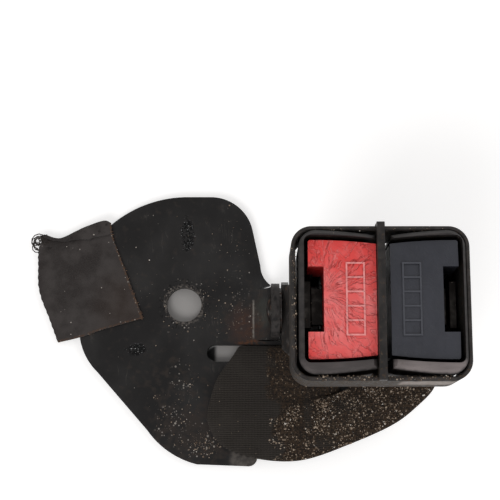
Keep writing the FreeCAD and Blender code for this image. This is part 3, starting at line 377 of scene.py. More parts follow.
@dataclass(frozen=True)
class PlatePaint:
    """Black satin paint on the anchor plate and ear, dusty, chipped and rubbed, with painted highlights on
    the bend, the ear's top, the bottom corner and the chips.
    """

    dark: Colour = (0.0112, 0.0104, 0.0104)
    hazy: Colour = (0.0235, 0.0222, 0.0218)
    dust: Colour = (0.040, 0.032, 0.028)
    grit: Colour = (0.52, 0.47, 0.42)
    rubbed: Colour = (0.125, 0.110, 0.098)
    rust: Colour = (0.115, 0.048, 0.024)
    bend_lit_patch: Colour = (0.043, 0.044, 0.039)
    maroon: Colour = (0.062, 0.034, 0.029)
    ear_wear_and_highlight: Colour = (0.075, 0.066, 0.063)
    bend_highlight: Colour = (0.26, 0.235, 0.21)
    pit: Colour = (0.002, 0.002, 0.002)
    torn: Colour = (0.0006, 0.0006, 0.0006)
    glint: Colour = (0.34, 0.34, 0.34)
    bolt_radius: float = 6.4
    bend_x: Pair = (25.3, 25.9)
    bend_y: Pair = (-12.5, 1.0)
    grit_spots: Table = (
        (-5.0, -43.5, 6.0, 7.0, 0.5, 0.9, 0.7), (6.5, -49.5, 8.0, 6.5, 0.4, 0.8, 1.0),
        (-1.0, -27.0, 4.5, 6.0, 0.6, 0.8, 0.8), (21.0, -3.0, 8.0, 8.0, 0.6, 0.8, 0.45),
        (18.5, 14.0, 6.0, 10.0, 0.8, 0.9, 0.3),
    )
    brown_spots: Table = (
        (6.0, -48.0, 15.0, 10.0, 0.6, 0.9, 1.0), (23.0, -6.0, 9.0, 9.0, 0.6, 0.8, 1.0),
        (-4.0, -30.0, 12.0, 12.0, 0.8, 0.9, 0.4),
    )
    rust_spots: Table = ((24.0, -14.2, 4.6, 1.2, 0.5, 0.8, 0.8), (24.5, -8.0, 4.5, 4.5, 0.8, 0.9, 0.28))
    chip_spots: Table = ((1.0, 26.2, 2.3, 6.4, 0.25, 2.0, 1.0), (-17.2, -16.6, 3.9, 2.0, 0.25, 1.7, 1.0))
    bend_lit_spot: Table = ((29.0, -3.0, 3.6, 5.0, 0.4, 0.7, 0.7),)
    maroon_spot: Table = ((22.0, -7.5, 5.5, 6.0, 0.5, 0.9, 0.45),)
    corner_wear_highlight_spot: Table = ((23.5, -56.5, 6.5, 7.0, 0.2, 0.5, 1.0),)

    def grit_mask(self, g: Graph, halo: Value) -> Value:
        """Where light grit lies: everywhere a little, and thick in a few patches.

        Args:
            g: The graph.
            halo: Where the ring round the bolt hole lies.

        Returns:
            A mask that is 1 on a grain.
        """
        thick = g.smooth(g.spots(self.grit_spots) + halo * 0.5 + g.jitter(0.5, 3.0), 0.25, 0.75)
        small = g.specks(0.85, 0.42, 0.36) * thick
        large = g.specks(1.5, 0.20, 0.30) * thick
        loose = g.specks(3.4, 0.22, 0.075) + g.specks(2.0, 0.10, 0.10)
        return (small + large + loose).capped()

    def build(self) -> Material:
        """Builds the material."""
        g = Graph("plate_paint")
        g.base(g.cloud(18.0, 5.0, 0.35, 0.7), self.dark, self.hazy)
        film = g.smooth(g.noise(2.4, 6.0) + g.spots(self.brown_spots) * 0.25, 0.54, 0.84)
        g.lay(film * 0.7, self.dust)
        radius = (g.x ** 2.0 + g.y ** 2.0).maths("SQRT")
        ring = g.band(radius + g.jitter(2.6, 1.6, 4.0), self.bolt_radius - 0.6, self.bolt_radius + 1.2, 0.4)
        worn = ring * g.cloud(0.8, 4.0, 0.42, 0.6)
        halo = g.band(radius, self.bolt_radius + 0.6, self.bolt_radius + 3.2, 0.5)
        pits = halo * g.smooth(g.noise(1.0, 4.0, warp=0.8), 0.56, 0.64)
        # The bottom corner is laid lighter: partly rubbed paint, partly a painted highlight on its rounded
        # edge.
        corner = g.spots(self.corner_wear_highlight_spot) * (0.45 + g.cloud(1.6, 5.0, 0.35, 0.65) * 0.55)
        # Painted highlight: a light band along the bend line, where the bend would catch the light.
        bend = g.band(g.x + g.jitter(0.5, 4.0), *self.bend_x, 0.25)
        bend = bend * g.band(g.y, *self.bend_y, 1.0) * g.cloud(1.4, 4.0, 0.32, 0.5)
        # Painted light: a lighter patch on the bend's curved face, standing in for the light that it
        # catches.
        g.lay(g.spots(self.bend_lit_spot), self.bend_lit_patch)
        g.lay(g.spots(self.maroon_spot), self.maroon)
        # The ear is laid lighter upwards in streaks: partly rubbed paint, partly a painted highlight on its
        # top.
        streak = g.noise(1.4, 5.0, g.stretched(g.place, (1.0, 0.25, 1.0)))
        g.lay(g.smooth(g.z, 7.0, 15.0) * g.smooth(streak, 0.36, 0.62) * 0.55, self.ear_wear_and_highlight)
        g.lay((worn + corner).capped() * 0.75, self.rubbed)
        g.lay(bend * 0.8, self.bend_highlight)
        g.lay(pits * 0.9, self.pit)
        marks = g.noise(2.6, 5.0, g.stretched(g.place, (1.0, 0.12, 1.0)), 0.4)
        scratch = g.smooth(abs(marks - 0.5), 0.010, 0.002) * g.cloud(9.0, 3.0, 0.54, 0.66)
        g.lay(scratch * 0.22, self.rubbed)
        grit = self.grit_mask(g, halo)
        g.lay(grit * (g.noise(0.9) * 1.1), self.grit)
        g.lay(g.spots(self.rust_spots) * g.cloud(1.2, 5.0, 0.40, 0.62), self.rust)
        chips = g.spots(self.chip_spots).capped() * g.smooth(g.noise(1.5, 5.0, warp=1.2), 0.455, 0.475)
        g.lay(chips, self.torn)
        g.lay(chips * g.cloud(0.5, 2.0, 0.62, 0.68), self.glint)
        rough = 0.50 + film * 0.25 + grit * 0.2 - chips * 0.3 - worn * 0.08 + g.jitter(0.14, 1.0)
        height = grit * 0.9 - chips * 0.9 - pits * 0.6 + g.noise(5.0, 2.0) * 0.6
        normal = g.relief(height, 0.24, 0.6, g.relief(g.noise(0.55, 3.0), 0.03, 0.5))
        return g.close(rough, normal, worn * 0.35, 0.12)


@dataclass(frozen=True)
class BareSteel:
    """Plated steel with fine rolling lines, dirt and a little rust."""

    name: str
    bright: Colour = (0.045, 0.040, 0.036)
    dull: Colour = (0.013, 0.011, 0.010)
    rust: Colour = (0.07, 0.03, 0.014)
    grime: Colour = (0.010, 0.008, 0.007)
    speck: Colour = (0.36, 0.31, 0.26)
    dirt: float = 0.5
    rusty: float = 0.25
    roughness: float = 0.38

    def build(self) -> Material:
        """Builds the material."""
        g = Graph(self.name)
        lines = g.noise(0.9, 4.0, g.stretched(g.place, (1.0, 1.0, 0.06)))
        g.base(g.cloud(3.2, 5.0, 0.62 - self.dirt * 0.2, 0.30), self.dull, self.bright)
        g.lay(g.smooth(lines, 0.42, 0.7) * 0.3, self.dull)
        rust = g.cloud(2.1, 6.0, 0.66 - self.rusty * 0.3, 0.80 - self.rusty * 0.2)
        g.lay(rust * 0.85, self.rust)
        grime = g.cloud(1.2, 5.0, 0.60, 0.74) * self.dirt
        g.lay(grime, self.grime)
        specks = g.specks(0.9, 0.12 * self.dirt, 0.26)
        g.lay(specks * 0.6, self.speck)
        rough = self.roughness + rust * 0.35 + grime * 0.3 + (lines - 0.5) * 0.16
        normal = g.relief(lines * 0.5 + rust * 0.5 + specks, 0.06, 0.5)
        return g.close(rough, normal, 0.9 - rust * 0.8 - grime * 0.8, 0.4)


@dataclass(frozen=True)
class HousingPlastic:
    """Dark grey moulded plastic whose top rims are rubbed lighter and hold dust, with a painted highlight
    on the front rims.
    """

    base: Colour = (0.0085, 0.0076, 0.0073)
    hazy: Colour = (0.016, 0.0145, 0.014)
    rubbed: Colour = (0.052, 0.044, 0.043)
    front_rim_highlight: Colour = (0.24, 0.205, 0.200)
    dust: Colour = (0.075, 0.052, 0.034)
    grit: Colour = (0.33, 0.27, 0.21)
    rim_z: float = 79.2
    front_y: float = -27.6
    black_x: float = 67.0

    def build(self) -> Material:
        """Builds the material."""
        g = Graph("housing_plastic")
        grain = g.noise(0.35, 2.0)
        g.base(g.cloud(6.0, 4.0, 0.35, 0.7) * 0.8, self.base, self.hazy)
        rim = g.smooth(g.z + g.jitter(0.9, 2.4), self.rim_z - 0.6, self.rim_z + 0.3)
        streak = g.noise(1.8, 5.0, g.stretched(g.place, (0.22, 1.0, 1.0)))
        worn = rim * (0.35 + g.smooth(streak, 0.38, 0.66) * 0.65)
        g.lay(worn * 0.62, self.rubbed)
        # Painted highlight: the front rims are laid much lighter, most on the black buckle, as the
        # reflection of the key light.
        front = g.smooth(g.y, self.front_y, self.front_y - 2.4)
        side = g.smooth(g.x, self.black_x - 1.0, self.black_x + 3.0) * 0.55 + 0.22
        g.lay(rim * front * side * (0.5 + streak * 0.9), self.front_rim_highlight)
        low = g.smooth(g.z, 79.0, 76.6)
        film = g.smooth(g.noise(1.6, 6.0) + low * 0.10, 0.60, 0.80)
        g.lay(film * 0.45, self.dust)
        fine = g.specks(0.8, 0.30, 0.26) * low * g.cloud(9.0, 3.0, 0.42, 0.62)
        grit = (fine + g.specks(2.4, 0.07, 0.10)).capped()
        g.lay(grit * 0.8, self.grit)
        rough = 0.46 + film * 0.25 + grit * 0.2 - worn * 0.12 + (grain - 0.5) * 0.12
        normal = g.relief(grit + streak * 0.4, 0.12, 0.5, g.relief(grain, 0.02, 0.5))
        return g.close(rough, normal, 0.0, 0.2)


@dataclass(frozen=True)
class SleevePlastic:
    """The dull black sleeve and divider, dusty inside, with a light worn strip in front and a painted
    highlight along the top rim.
    """

    base: Colour = (0.0088, 0.0080, 0.0076)
    hazy: Colour = (0.018, 0.0158, 0.0148)
    edge: Colour = (0.050, 0.043, 0.040)
    dust: Colour = (0.070, 0.046, 0.028)
    grit: Colour = (0.46, 0.36, 0.27)
    pale: Colour = (0.29, 0.25, 0.225)
    rim_z: float = 77.4
    divider_z: Pair = (79.6, 80.6)
    inside_z: Pair = (77.6, 76.9)
    front_y: float = -34.6
    works_y: float = -33.6
    strip_x: Pair = (71.5, 88.6)
    strip_z: Pair = (64.0, 75.8)

    def build(self) -> Material:
        """Builds the material."""
        g = Graph("sleeve_plastic")
        g.base(g.cloud(7.0, 5.0, 0.38, 0.68), self.base, self.hazy)
        # Painted highlight: the top rim is laid lighter, as the light line along its edge.
        edge = g.smooth(g.z + g.jitter(1.2, 1.8, 4.0), self.rim_z, self.rim_z + 0.6)
        g.lay(edge * (0.15 + g.cloud(3.0, 4.0, 0.42, 0.64) * 0.5), self.edge)
        g.lay(g.smooth(g.z, *self.divider_z) * 0.4, self.base)
        inside = g.smooth(g.z, *self.inside_z)
        front = g.smooth(g.y, self.works_y + 3.0, self.works_y)
        brown = g.smooth(g.noise(1.1, 6.0) + inside * 0.07 + front * 0.06, 0.56, 0.72)
        g.lay(brown * 0.65, self.dust)
        thick = (inside * 0.5 + front * 0.35 + 0.08).capped() * g.cloud(8.0, 3.0, 0.36, 0.62)
        grit = g.specks(0.75, 0.40, 0.34) * thick + g.specks(1.2, 0.20, 0.26) * thick
        grit = (grit + g.specks(2.6, 0.10, 0.09)).capped()
        g.lay(grit * (0.2 + g.noise(1.1) * 0.8), self.grit)
        strip = g.band(g.x + g.jitter(2.4, 3.0, 4.0), *self.strip_x, 0.7)
        strip = strip * g.smooth(g.y, self.front_y, self.front_y - 0.2)
        strip = strip * g.band(g.z + g.jitter(6.0, 4.0, 4.0), *self.strip_z, 1.5)
        g.lay(strip * (0.55 + g.noise(1.6, 4.0) * 0.6), self.pale)
        rough = 0.55 + brown * 0.25 + grit * 0.2 - edge * 0.1
        normal = g.relief(grit + brown * 0.4, 0.16, 0.6, g.relief(g.noise(0.4, 2.0), 0.02, 0.5))
        return g.close(rough, normal, 0.0, 0.18)


@dataclass(frozen=True)
class ButtonPlastic:
    """Glossy moulded plastic with crinkled scratches and scuffs, painted highlights on its grip ridges and
    beside the cracks, and painted shade on its sides.
    """

    side: Side
    base: Colour
    pale: Colour
    crack_and_side_shade: Colour
    ridge_highlight: Colour
    rich: Colour
    crinkle: float
    roughness: float
    specular: float
    dirt: Colour = (0.05, 0.02, 0.018)
    fan_off: float = 3.5
    top_z: Pair = (76.0, 77.3)
    shaded_side_z: Pair = (77.4, 75.5)
    ridge_highlight_z: Pair = (78.52, 78.66)

    def strokes(self, g: Graph) -> tuple[Value, Value]:
        """Dark and pale feathery strokes that fan out from the notch; the pale ones run beside the dark
        cracks and are partly whitened crazing, partly painted highlight.

        Args:
            g: The graph.

        Returns:
            The masks of the dark and of the pale strokes.
        """
        bent = {"Vector": g.place, "Scale": 0.20, "Detail": 3.0}
        bent = g.scaled(g.node("ShaderNodeTexNoise", None, bent, "Color"), 3.6)
        warped = g.node("ShaderNodeVectorMath", {"operation": "ADD"}, {0: g.place, 1: bent})
        x, y, _ = g.parts(warped)
        notch = middle(f"{self.side.value}_ejector")
        x, y = x - (notch[0] + self.fan_off), y - (notch[1] + self.fan_off)
        reach = (x ** 2.0 + y ** 2.0).maths("SQRT")
        fan = {0: y.maths("ARCTAN2", x) * 8.0, 1: reach * 0.10, 2: 0.0}
        ribs = g.noise(1.0, 5.0, g.node("ShaderNodeCombineXYZ", None, fan), 0.25) - 0.5
        slant = g.node("ShaderNodeVectorRotate", None, {"Vector": warped, "Angle": -0.9})
        cracks = g.noise(2.2, 6.0, g.stretched(slant, (1.0, 0.33, 1.0)), 0.5) - 0.5
        where = g.cloud(5.0, 3.0, 0.42, 0.58)
        away = 1.0 - where * 0.8
        dark = g.smooth(abs(ribs), 0.026, 0.004) * where + g.smooth(abs(cracks), 0.018, 0.003) * away * 0.5
        pale = g.smooth(abs(ribs - 0.045), 0.030, 0.006) * where
        pale = pale + g.smooth(abs(cracks - 0.035), 0.026, 0.006) * away
        return dark, pale

    def build(self) -> Material:
        """Builds the material."""
        button = f"{self.side.value}_button"
        x, y = middle(button)
        g = Graph(f"{button}_plastic")
        top = g.smooth(g.z, *self.top_z)
        dark, pale = self.strokes(g)
        blotch = g.smooth(g.noise(4.0, 6.0, g.stretched(g.place, (1.0, 0.6, 1.0)), 0.6), 0.42, 0.68)
        wide = g.spot(x, y - 7.0, 13.0, 14.0, 0.5, 0.9)
        g.base((blotch * 0.5 + wide * 0.4) * top, self.base, self.pale)
        # The pale strokes: partly whitened crazing, partly painted highlight on the cracks' raised edges.
        g.lay(pale * top * self.crinkle * 0.34, self.ridge_highlight)
        g.lay((1.0 - g.spot(x, y, 13.5, 20.5, 0.22)) * 0.55, self.rich)
        g.lay(dark * top * self.crinkle * 0.8, self.crack_and_side_shade)
        # Painted highlight: the tops of the raised grip ridges are laid pale.
        g.lay(g.smooth(g.z, *self.ridge_highlight_z) * (0.25 + g.noise(1.2, 4.0) * 0.9), self.ridge_highlight)
        g.lay(g.specks(1.6, 0.16, 0.10) * top * 0.7, self.dirt)
        # Painted shade: the button's sides, down in the gap round it, are laid dark.
        g.lay(g.smooth(g.z, *self.shaded_side_z) * 0.85, self.crack_and_side_shade)
        rough = self.roughness + blotch * 0.12 - dark * 0.05 + g.jitter(0.10, 0.8)
        height = g.noise(3.0, 3.0) * 0.4 - dark + pale * 0.8
        normal = g.relief(height, 0.30, 0.6 * self.crinkle + 0.1)
        return g.close(rough, normal, 0.0, self.specular)


@dataclass(frozen=True)
class PlainPlastic:
    """Moulded plastic of the hidden slides, finely grained and a little dusty."""

    name: str
    base: Colour
    pale: Colour
    dust: Colour = (0.25, 0.2, 0.16)

    def build(self) -> Material:
        """Builds the material."""
        g = Graph(self.name)
        grain = g.noise(0.3, 3.0)
        g.base(g.cloud(2.5, 5.0, 0.4, 0.7), self.base, self.pale)
        g.lay(g.specks(0.9, 0.2, 0.3) * 0.5, self.dust)
        return g.close(0.5 + (grain - 0.5) * 0.2, g.relief(grain, 0.02, 0.5), 0.0, 0.35)


@dataclass(frozen=True)
class BeltWeave:
    """Ribbed black webbing, brown with grit where it runs under the head, and painted darker there as the
    shade of the stalk and head.
    """

    yarn: Colour = (0.0540, 0.0465, 0.0405)
    valley_shade: Colour = (0.0095, 0.0080, 0.0070)
    rubbed: Colour = (0.046, 0.040, 0.035)
    soil_and_shade: Colour = (0.0185, 0.0130, 0.0098)
    crust: Colour = (0.068, 0.044, 0.028)
    brown: Colour = (0.14, 0.086, 0.050)
    grit: Colour = (0.58, 0.45, 0.33)
    rib: float = 0.66
    plait: float = 1.1
    dirt_and_shade_x: Pair = (26.5, 33.0)
    bare_spots: Table = (
        (51.0, -51.5, 6.0, 2.6, 0.8, 0.9, 1.0), (58.0, -38.0, 6.0, 3.5, 0.8, 0.9, 1.0),
        (45.0, -40.0, 2.0, 8.0, 0.6, 0.6, 1.0),
    )

    def build(self) -> Material:
        """Builds the material, whose weave follows the piece's own UV map in millimetres."""
        g = Graph("belt_weave")
        across, along, _ = g.parts(g.node("ShaderNodeTexCoord", output="UV"))
        sway = g.jitter(0.4, 2.4, 2.0)
        ribs = ((along + sway) * (math.tau / self.rib)).sine() * 0.5 + 0.5
        knots = ((across + sway) * (math.tau / self.plait) + ribs * 1.2).sine() * 0.5 + 0.5
        weave = ribs * 0.84 + knots * 0.16
        fuzz = g.noise(0.35, 3.0)
        # Painted shade: the weave's valleys are laid dark between the lighter ribs.
        g.base(weave * 0.8 + (fuzz - 0.5) * 0.5 + 0.1, self.valley_shade, self.yarn)
        g.lay(g.cloud(8.0, 5.0, 0.45, 0.70) * 0.35, self.rubbed)
        # Past the stalk the belt is laid darker: partly soil, partly painted shade under the stalk and
        # head.
        side = g.smooth(g.x + g.jitter(16.0, 7.0, 4.0) + g.y * 0.10, *self.dirt_and_shade_x)
        dirt_and_shade = (side - g.spots(self.bare_spots) * 0.55 + g.jitter(0.5, 4.0, 5.0)).most(0.0)
        g.lay(g.smooth(dirt_and_shade, 0.15, 0.8) * 0.75, self.soil_and_shade)
        crust = g.smooth(g.noise(0.8, 5.0) + dirt_and_shade * 0.12, 0.55, 0.68) * g.smooth(dirt_and_shade, 0.15, 0.7)
        g.lay(crust * 0.6, self.crust)
        thick = g.smooth(dirt_and_shade, 0.2, 0.8) * (0.35 + g.cloud(2.6, 4.0, 0.40, 0.6) * 0.65)
        grit = g.specks(0.62, 0.42, 0.40) * thick + g.specks(1.05, 0.36, 0.34) * thick
        grit = (grit + g.specks(2.2, 0.14, 0.11) * 0.8).capped()
        g.lay(grit * 0.9, g.mix(g.cloud(0.9, 3.0, 0.35, 0.65), self.brown, self.grit))
        normal = g.relief(weave + fuzz * 0.35, 0.20, 0.85)
        normal = g.relief(grit + crust * 0.5, 0.40, 0.8, normal)
        return g.close(0.88 + (fuzz - 0.5) * 0.2, normal, 0.0, 0.10, 0.04)


@dataclass(frozen=True)
class PadFelt:
    """Brownish black cloth tape, felted, with a reddish brown raw edge."""

    base: Colour = (0.0285, 0.0242, 0.0230)
    pale: Colour = (0.0560, 0.0492, 0.0470)
    brown: Colour = (0.046, 0.030, 0.023)
    stain: Colour = (0.010, 0.0085, 0.008)
    raw: Colour = (0.085, 0.050, 0.033)
    lint: Colour = (0.42, 0.38, 0.34)
    thread: float = 0.55
    brown_spot: Table = ((-22.0, -2.0, 9.0, 12.0, 0.8, 0.8, 0.35),)

    def build(self) -> Material:
        """Builds the material; the UV map runs from 0 to 1 across and down the pad."""
        g = Graph("pad_felt")
        across, down, _ = g.parts(g.node("ShaderNodeTexCoord", output="UV"))
        nap = g.noise(0.32, 4.0)
        turn = math.tau / self.thread
        threads = (((g.x + g.y * 0.25) * turn).sine() + ((g.y - g.x * 0.25) * turn).sine()) * 0.5
        g.base(g.cloud(7.0, 6.0, 0.34, 0.68), self.base, self.pale)
        g.lay(g.smooth(nap + threads * 0.06, 0.42, 0.66) * 0.45, self.pale)
        g.lay(g.spots(self.brown_spot), self.brown)
        g.lay(g.cloud(2.6, 5.0, 0.56, 0.72) * g.smooth(down, 0.35, 0.05) * 0.7, self.stain)
        ragged = g.jitter(0.02, 0.8, 4.0)
        edge = g.smooth(across + ragged, 0.972, 0.985) + g.smooth(down + ragged, 0.975, 0.99) * 0.8
        g.lay(edge.capped() * g.cloud(0.9, 3.0, 0.36, 0.58), self.raw)
        tips = g.specks(0.7, 0.5, 0.4) * edge
        lint = (g.specks(2.2, 0.22, 0.11) + g.specks(1.3, 0.07, 0.2) + tips * 0.8).capped()
        g.lay(lint * 0.85, self.lint)
        normal = g.relief(nap + threads * 0.22, 0.14, 0.7)
        normal = g.relief(g.noise(6.0, 3.0), 0.5, 0.5, normal)
        return g.close(0.92 + (nap - 0.5) * 0.12, normal, 0.0, 0.10, 0.08)


@dataclass(frozen=True)
class Sand:
    """Grains of sand, from brown to nearly white."""

    dark: Colour = (0.10, 0.062, 0.038)
    pale: Colour = (0.43, 0.34, 0.26)
    white: Colour = (0.75, 0.70, 0.64)

    def build(self) -> Material:
        """Builds the material."""
        g = Graph("sand")
        g.base(g.cloud(0.9, 2.0, 0.36, 0.60), self.dark, self.pale)
        g.lay(g.cloud(1.3, 2.0, 0.60, 0.68), self.white)
        return g.close(0.7 + g.jitter(0.4, 0.3), g.relief(g.noise(0.2, 2.0), 0.05, 0.6))


@dataclass(frozen=True)
class RawThread:
    """Loose threads at the pad's torn edge."""

    name: str
    colour: Colour
    tip: Colour

    def build(self) -> Material:
        """Builds the material."""
        g = Graph(self.name)
        twist = ((g.x + g.y + g.z) * 14.0).sine() * 0.5 + 0.5
        g.base(twist * 0.4 + g.noise(0.8) * 0.6, self.colour, self.tip)
        return g.close(0.9, g.relief(twist, 0.04, 0.5), 0.0, 0.1)


# Mesh helpers


def deselect() -> None:
    """Leaves edit mode and clears the selection."""
    if bpy.context.object is not None and bpy.context.object.mode != "OBJECT":
        bpy.ops.object.mode_set(mode="OBJECT")
    bpy.ops.object.select_all(action="DESELECT")


def choose(obj: Object) -> None:
    """Makes one object the only selected and active one."""
    deselect()
    obj.select_set(True)
    bpy.context.view_layer.objects.active = obj


def grid(
    name: str,
    columns: int,
    rows: int,
    place: Callable[[int, int], Point],
    uv: Callable[[int, int], Pair],
) -> Object:
    """Lays a grid primitive over a surface.

    Args:
        name: The piece's name.
        columns: The number of faces across.
        rows: The number of faces along.
        place: The place of a column and row, in millimetres.
        uv: The UV of a column and row.

    Returns:
        The object, at the origin.
    """
    deselect()
    bpy.ops.mesh.primitive_grid_add(x_subdivisions=columns, y_subdivisions=rows, size=1.0)
    obj = bpy.context.object
    obj.name = name
    obj.data.name = name
    spots = {}
    for vertex in obj.data.vertices:
        i = round((vertex.co.x + 0.5) * columns)
        j = round((vertex.co.y + 0.5) * rows)
        spots[vertex.index] = (i, j)
    layer = obj.data.uv_layers.active or obj.data.uv_layers.new(name="UVMap")
    for loop in obj.data.loops:
        layer.data[loop.index].uv = uv(*spots[loop.vertex_index])
    for vertex in obj.data.vertices:
        vertex.co = [v * MM for v in place(*spots[vertex.index])]
    obj.data.update()
    return obj


def merged(obj: Object, reach: float) -> None:
    """Merges an object's doubles within a reach in millimetres and points its faces outwards."""
    choose(obj)
    bpy.ops.object.mode_set(mode="EDIT")
    bpy.ops.mesh.select_all(action="SELECT")
    bpy.ops.mesh.remove_doubles(threshold=reach * MM)
    bpy.ops.mesh.normals_make_consistent(inside=False)
    bpy.ops.object.mode_set(mode="OBJECT")


def modified(obj: Object, name: str, kind: str, **settings: object) -> None:
    """Adds a modifier and applies it."""
    choose(obj)
    made = obj.modifiers.new(name, kind)
    for key, value in settings.items():
        setattr(made, key, value)
    bpy.ops.object.modifier_apply(modifier=name)


def smoothed(obj: Object, degrees: float = 40.0) -> None:
    """Shades an object smooth below an angle."""
    choose(obj)
    bpy.ops.object.shade_smooth_by_angle(angle=math.radians(degrees))


def painted(obj: Object, material: Material) -> None:
    """Gives an object one material."""
    if not obj.data.materials:
        obj.data.materials.append(material)
    for i in range(len(obj.data.materials)):
        obj.data.materials[i] = material


def along_curve(points: Sequence[Sequence[float]], t: float) -> list[float]:
    """A point on a smooth curve through a few points.

    Args:
        points: The points.
        t: The share of the way, from 0 to 1.

    Returns:
        The point.
    """
    spans = [0.0]
    for a, b in zip(points, points[1:]):
        spans.append(spans[-1] + math.dist(a, b) ** 0.5)
    want = t * spans[-1]
    k = max(i for i in range(len(points) - 1) if spans[i] <= want + 1e-9)
    h = spans[k + 1] - spans[k]
    f = (want - spans[k]) / h
    slope = []
    for i in (k, k + 1):
        a = max(i - 1, 0)
        b = min(i + 1, len(points) - 1)
        slope.append([(q - p) / (spans[b] - spans[a]) * h for p, q in zip(points[a], points[b])])
    a, b = points[k], points[k + 1]
    w = (2 * f**3 - 3 * f**2 + 1, f**3 - 2 * f**2 + f, -2 * f**3 + 3 * f**2, f**3 - f**2)
    return [w[0] * p + w[1] * m + w[2] * q + w[3] * n for p, q, m, n in zip(a, b, slope[0], slope[1])]


def cross(a: Sequence[float], b: Sequence[float]) -> list[float]:
    """The unit vector square to two others."""
    c = [a[1] * b[2] - a[2] * b[1], a[2] * b[0] - a[0] * b[2], a[0] * b[1] - a[1] * b[0]]
    size = math.hypot(*c)
    return [v / size for v in c]


# Sub-assemblies


@dataclass
class BeltStrap:
    """The doubled webbing, one closed band from the plate's bar up to the black buckle's tail."""

    middle_y: float
    tail_x: float
    tail_foot: float
    half_tail: float
    slot_left: float
    slot_right: float
    layer_gap: float = 0.66
    thickness: float = 1.05
    run_share: float = 0.35
    run_step: float = 0.02
    grains: int = 2600
    columns: int = 18
    belt_rows: int = 46
    start_y: float = -34.4
    start_z: float = 4.5
    material: Optional[Material] = None
    slot_path: Table = (
        (-29.5, 0.85, 18.6), (-25.5, 0.85, 18.6), (-21.5, 0.90, 18.8), (-18.2, 1.20, 19.2),
        (-16.2, 2.20, 19.8), (-15.6, 3.60, 20.2), (-16.8, 5.00, 19.4), (-19.4, 5.75, 18.0),
        (-22.5, 5.85, 15.6), (-26.5, 5.75, 12.6), (-30.5, 5.60, 11.0),
    )
    return_path: Table = ((-33.9, 2.5, 14.5), (-33.0, 1.1, 17.8))
    tail_path: Sequence[Pair] = (
        (-1.55, 0.6), (-1.78, 1.6), (-1.78, 2.9), (-1.2, 3.75), (0.0, 4.0), (1.2, 3.75), (1.78, 2.9),
        (1.78, 1.6), (1.55, 0.6),
    )

    @classmethod
    def from_frame(cls, material: Material) -> "BeltStrap":
        """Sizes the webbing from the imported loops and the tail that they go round.

        Args:
            material: Its finish.

        Returns:
            The webbing, not built yet.
        """
        low, high = corners("buckle_strap_loop")
        slot_low, slot_high = corners("anchor_strap_loop")
        return cls(
            middle_y=(low[1] + high[1]) / 2,
            tail_x=(low[0] + high[0]) / 2,
            tail_foot=corners("black_frame")[0][2],
            half_tail=(high[1] - low[1]) / 2,
            slot_left=slot_low[0],
            slot_right=slot_high[0],
            material=material,
        )

    def edges(self) -> tuple[list[Point], list[Point]]:
        """The belt's two edges between its loops.

        Returns:
            The outer edge's points and the inner edge's points.
        """
        y, z = self.start_y, self.start_z
        left, right = self.slot_left, self.slot_right
        x, m, end = self.tail_x, self.middle_y, self.tail_foot - 1.5
        outer = [
            (left - 8.6, y, z), (left - 9.8, y - 8.5, z), (left - 4.4, y - 17.4, z + 0.1),
            (left + 8.0, y - 22.0, z + 0.8), (left + 24.3, y - 22.6, z + 2.1),
            (x - 28.1, m - 41.4, end - 7.8), (x - 13.2, m - 34.7, end - 5.2),
            (x - 4.6, m - 28.0, end - 3.6), (x + 0.4, m - 22.4, end - 2.4),
            (x, m - self.half_tail, end),
        ]
        inner = [
            (right, y, z), (right + 0.8, y + 0.5, z + 0.3), (right + 2.2, y + 1.5, z + 0.9),
            (right + 4.8, y + 3.4, z + 2.2), (right + 9.8, y + 7.4, z + 4.4),
            (x - 15.7, m - 11.0, end - 4.2), (x - 9.6, m - 2.0, end - 3.3),
            (x - 3.5, m + 7.0, end - 2.6), (x, m + self.half_tail, end),
        ]
        return outer, inner

    def belt_point(self, s: float, t: float, layer: Layer) -> list[float]:
        """A point on one layer of the belt.

        Args:
            s: The share across, from the outer edge.
            t: The share along, from the plate.
            layer: The layer.

        Returns:
            The point in millimetres.
        """
        outer, inner = self.edges()

        def ruled(a: float, b: float) -> list[float]:
            """A point on the middle surface."""
            p, q = along_curve(outer, b), along_curve(inner, b)
            return [u + (v - u) * a for u, v in zip(p, q)]

        here = ruled(s, t)
        ahead, behind = min(t + self.run_step, 1.0), max(t - self.run_step, 0.0)
        run = [q - p for p, q in zip(ruled(self.run_share, behind), ruled(self.run_share, ahead))]
        width = [q - p for p, q in zip(ruled(0.0, t), ruled(1.0, t))]
        normal = cross(run, width)
        calm = math.sin(math.pi * t) ** 0.5 if 0.0 < t < 1.0 else 0.0
        wave = 0.45 * math.sin(s * 9.0 + t * 7.0) + 0.35 * math.sin(s * 4.0 - t * 17.0 + 1.3)
        off = (here[0] - 43.0 - (here[1] + 50.0) * 0.05) / 1.6
        crease = -0.9 * math.exp(-(off ** 2))
        lift = (wave + crease + 0.3) * calm + self.layer_gap * layer.value
        return [p + n * lift for p, n in zip(here, normal)]

    def band_rows(self) -> list[Row]:
        """Every row of the closed band, as a function of the share across."""
        right = self.slot_right

        def flat(y: float, z: float, left: float) -> Row:
            """A row round the plate's bar, rippled where it lies on top."""
            ripple = 0.12 if z > 5.0 else 0.0
            return lambda s: [left + (right - left) * s, y, z + ripple * math.sin(s * 11.0)]

        def belt(i: int, layer: Layer) -> Row:
            """A row of the belt."""
            return lambda s: self.belt_point(s, i / self.belt_rows, layer)

        def tail(off: float, rise: float) -> Row:
            """A row round the buckle's tail bar."""
            x, z = self.tail_x + off, self.tail_foot + rise
            return lambda s: [x, self.middle_y + self.half_tail * (2.0 * s - 1.0), z]

        steps = range(self.belt_rows + 1)
        return (
            [flat(*row) for row in self.slot_path]
            + [belt(i, Layer.UPPER) for i in steps]
            + [tail(*row) for row in self.tail_path]
            + [belt(i, Layer.LOWER) for i in reversed(steps)]
            + [flat(*row) for row in self.return_path]
        )

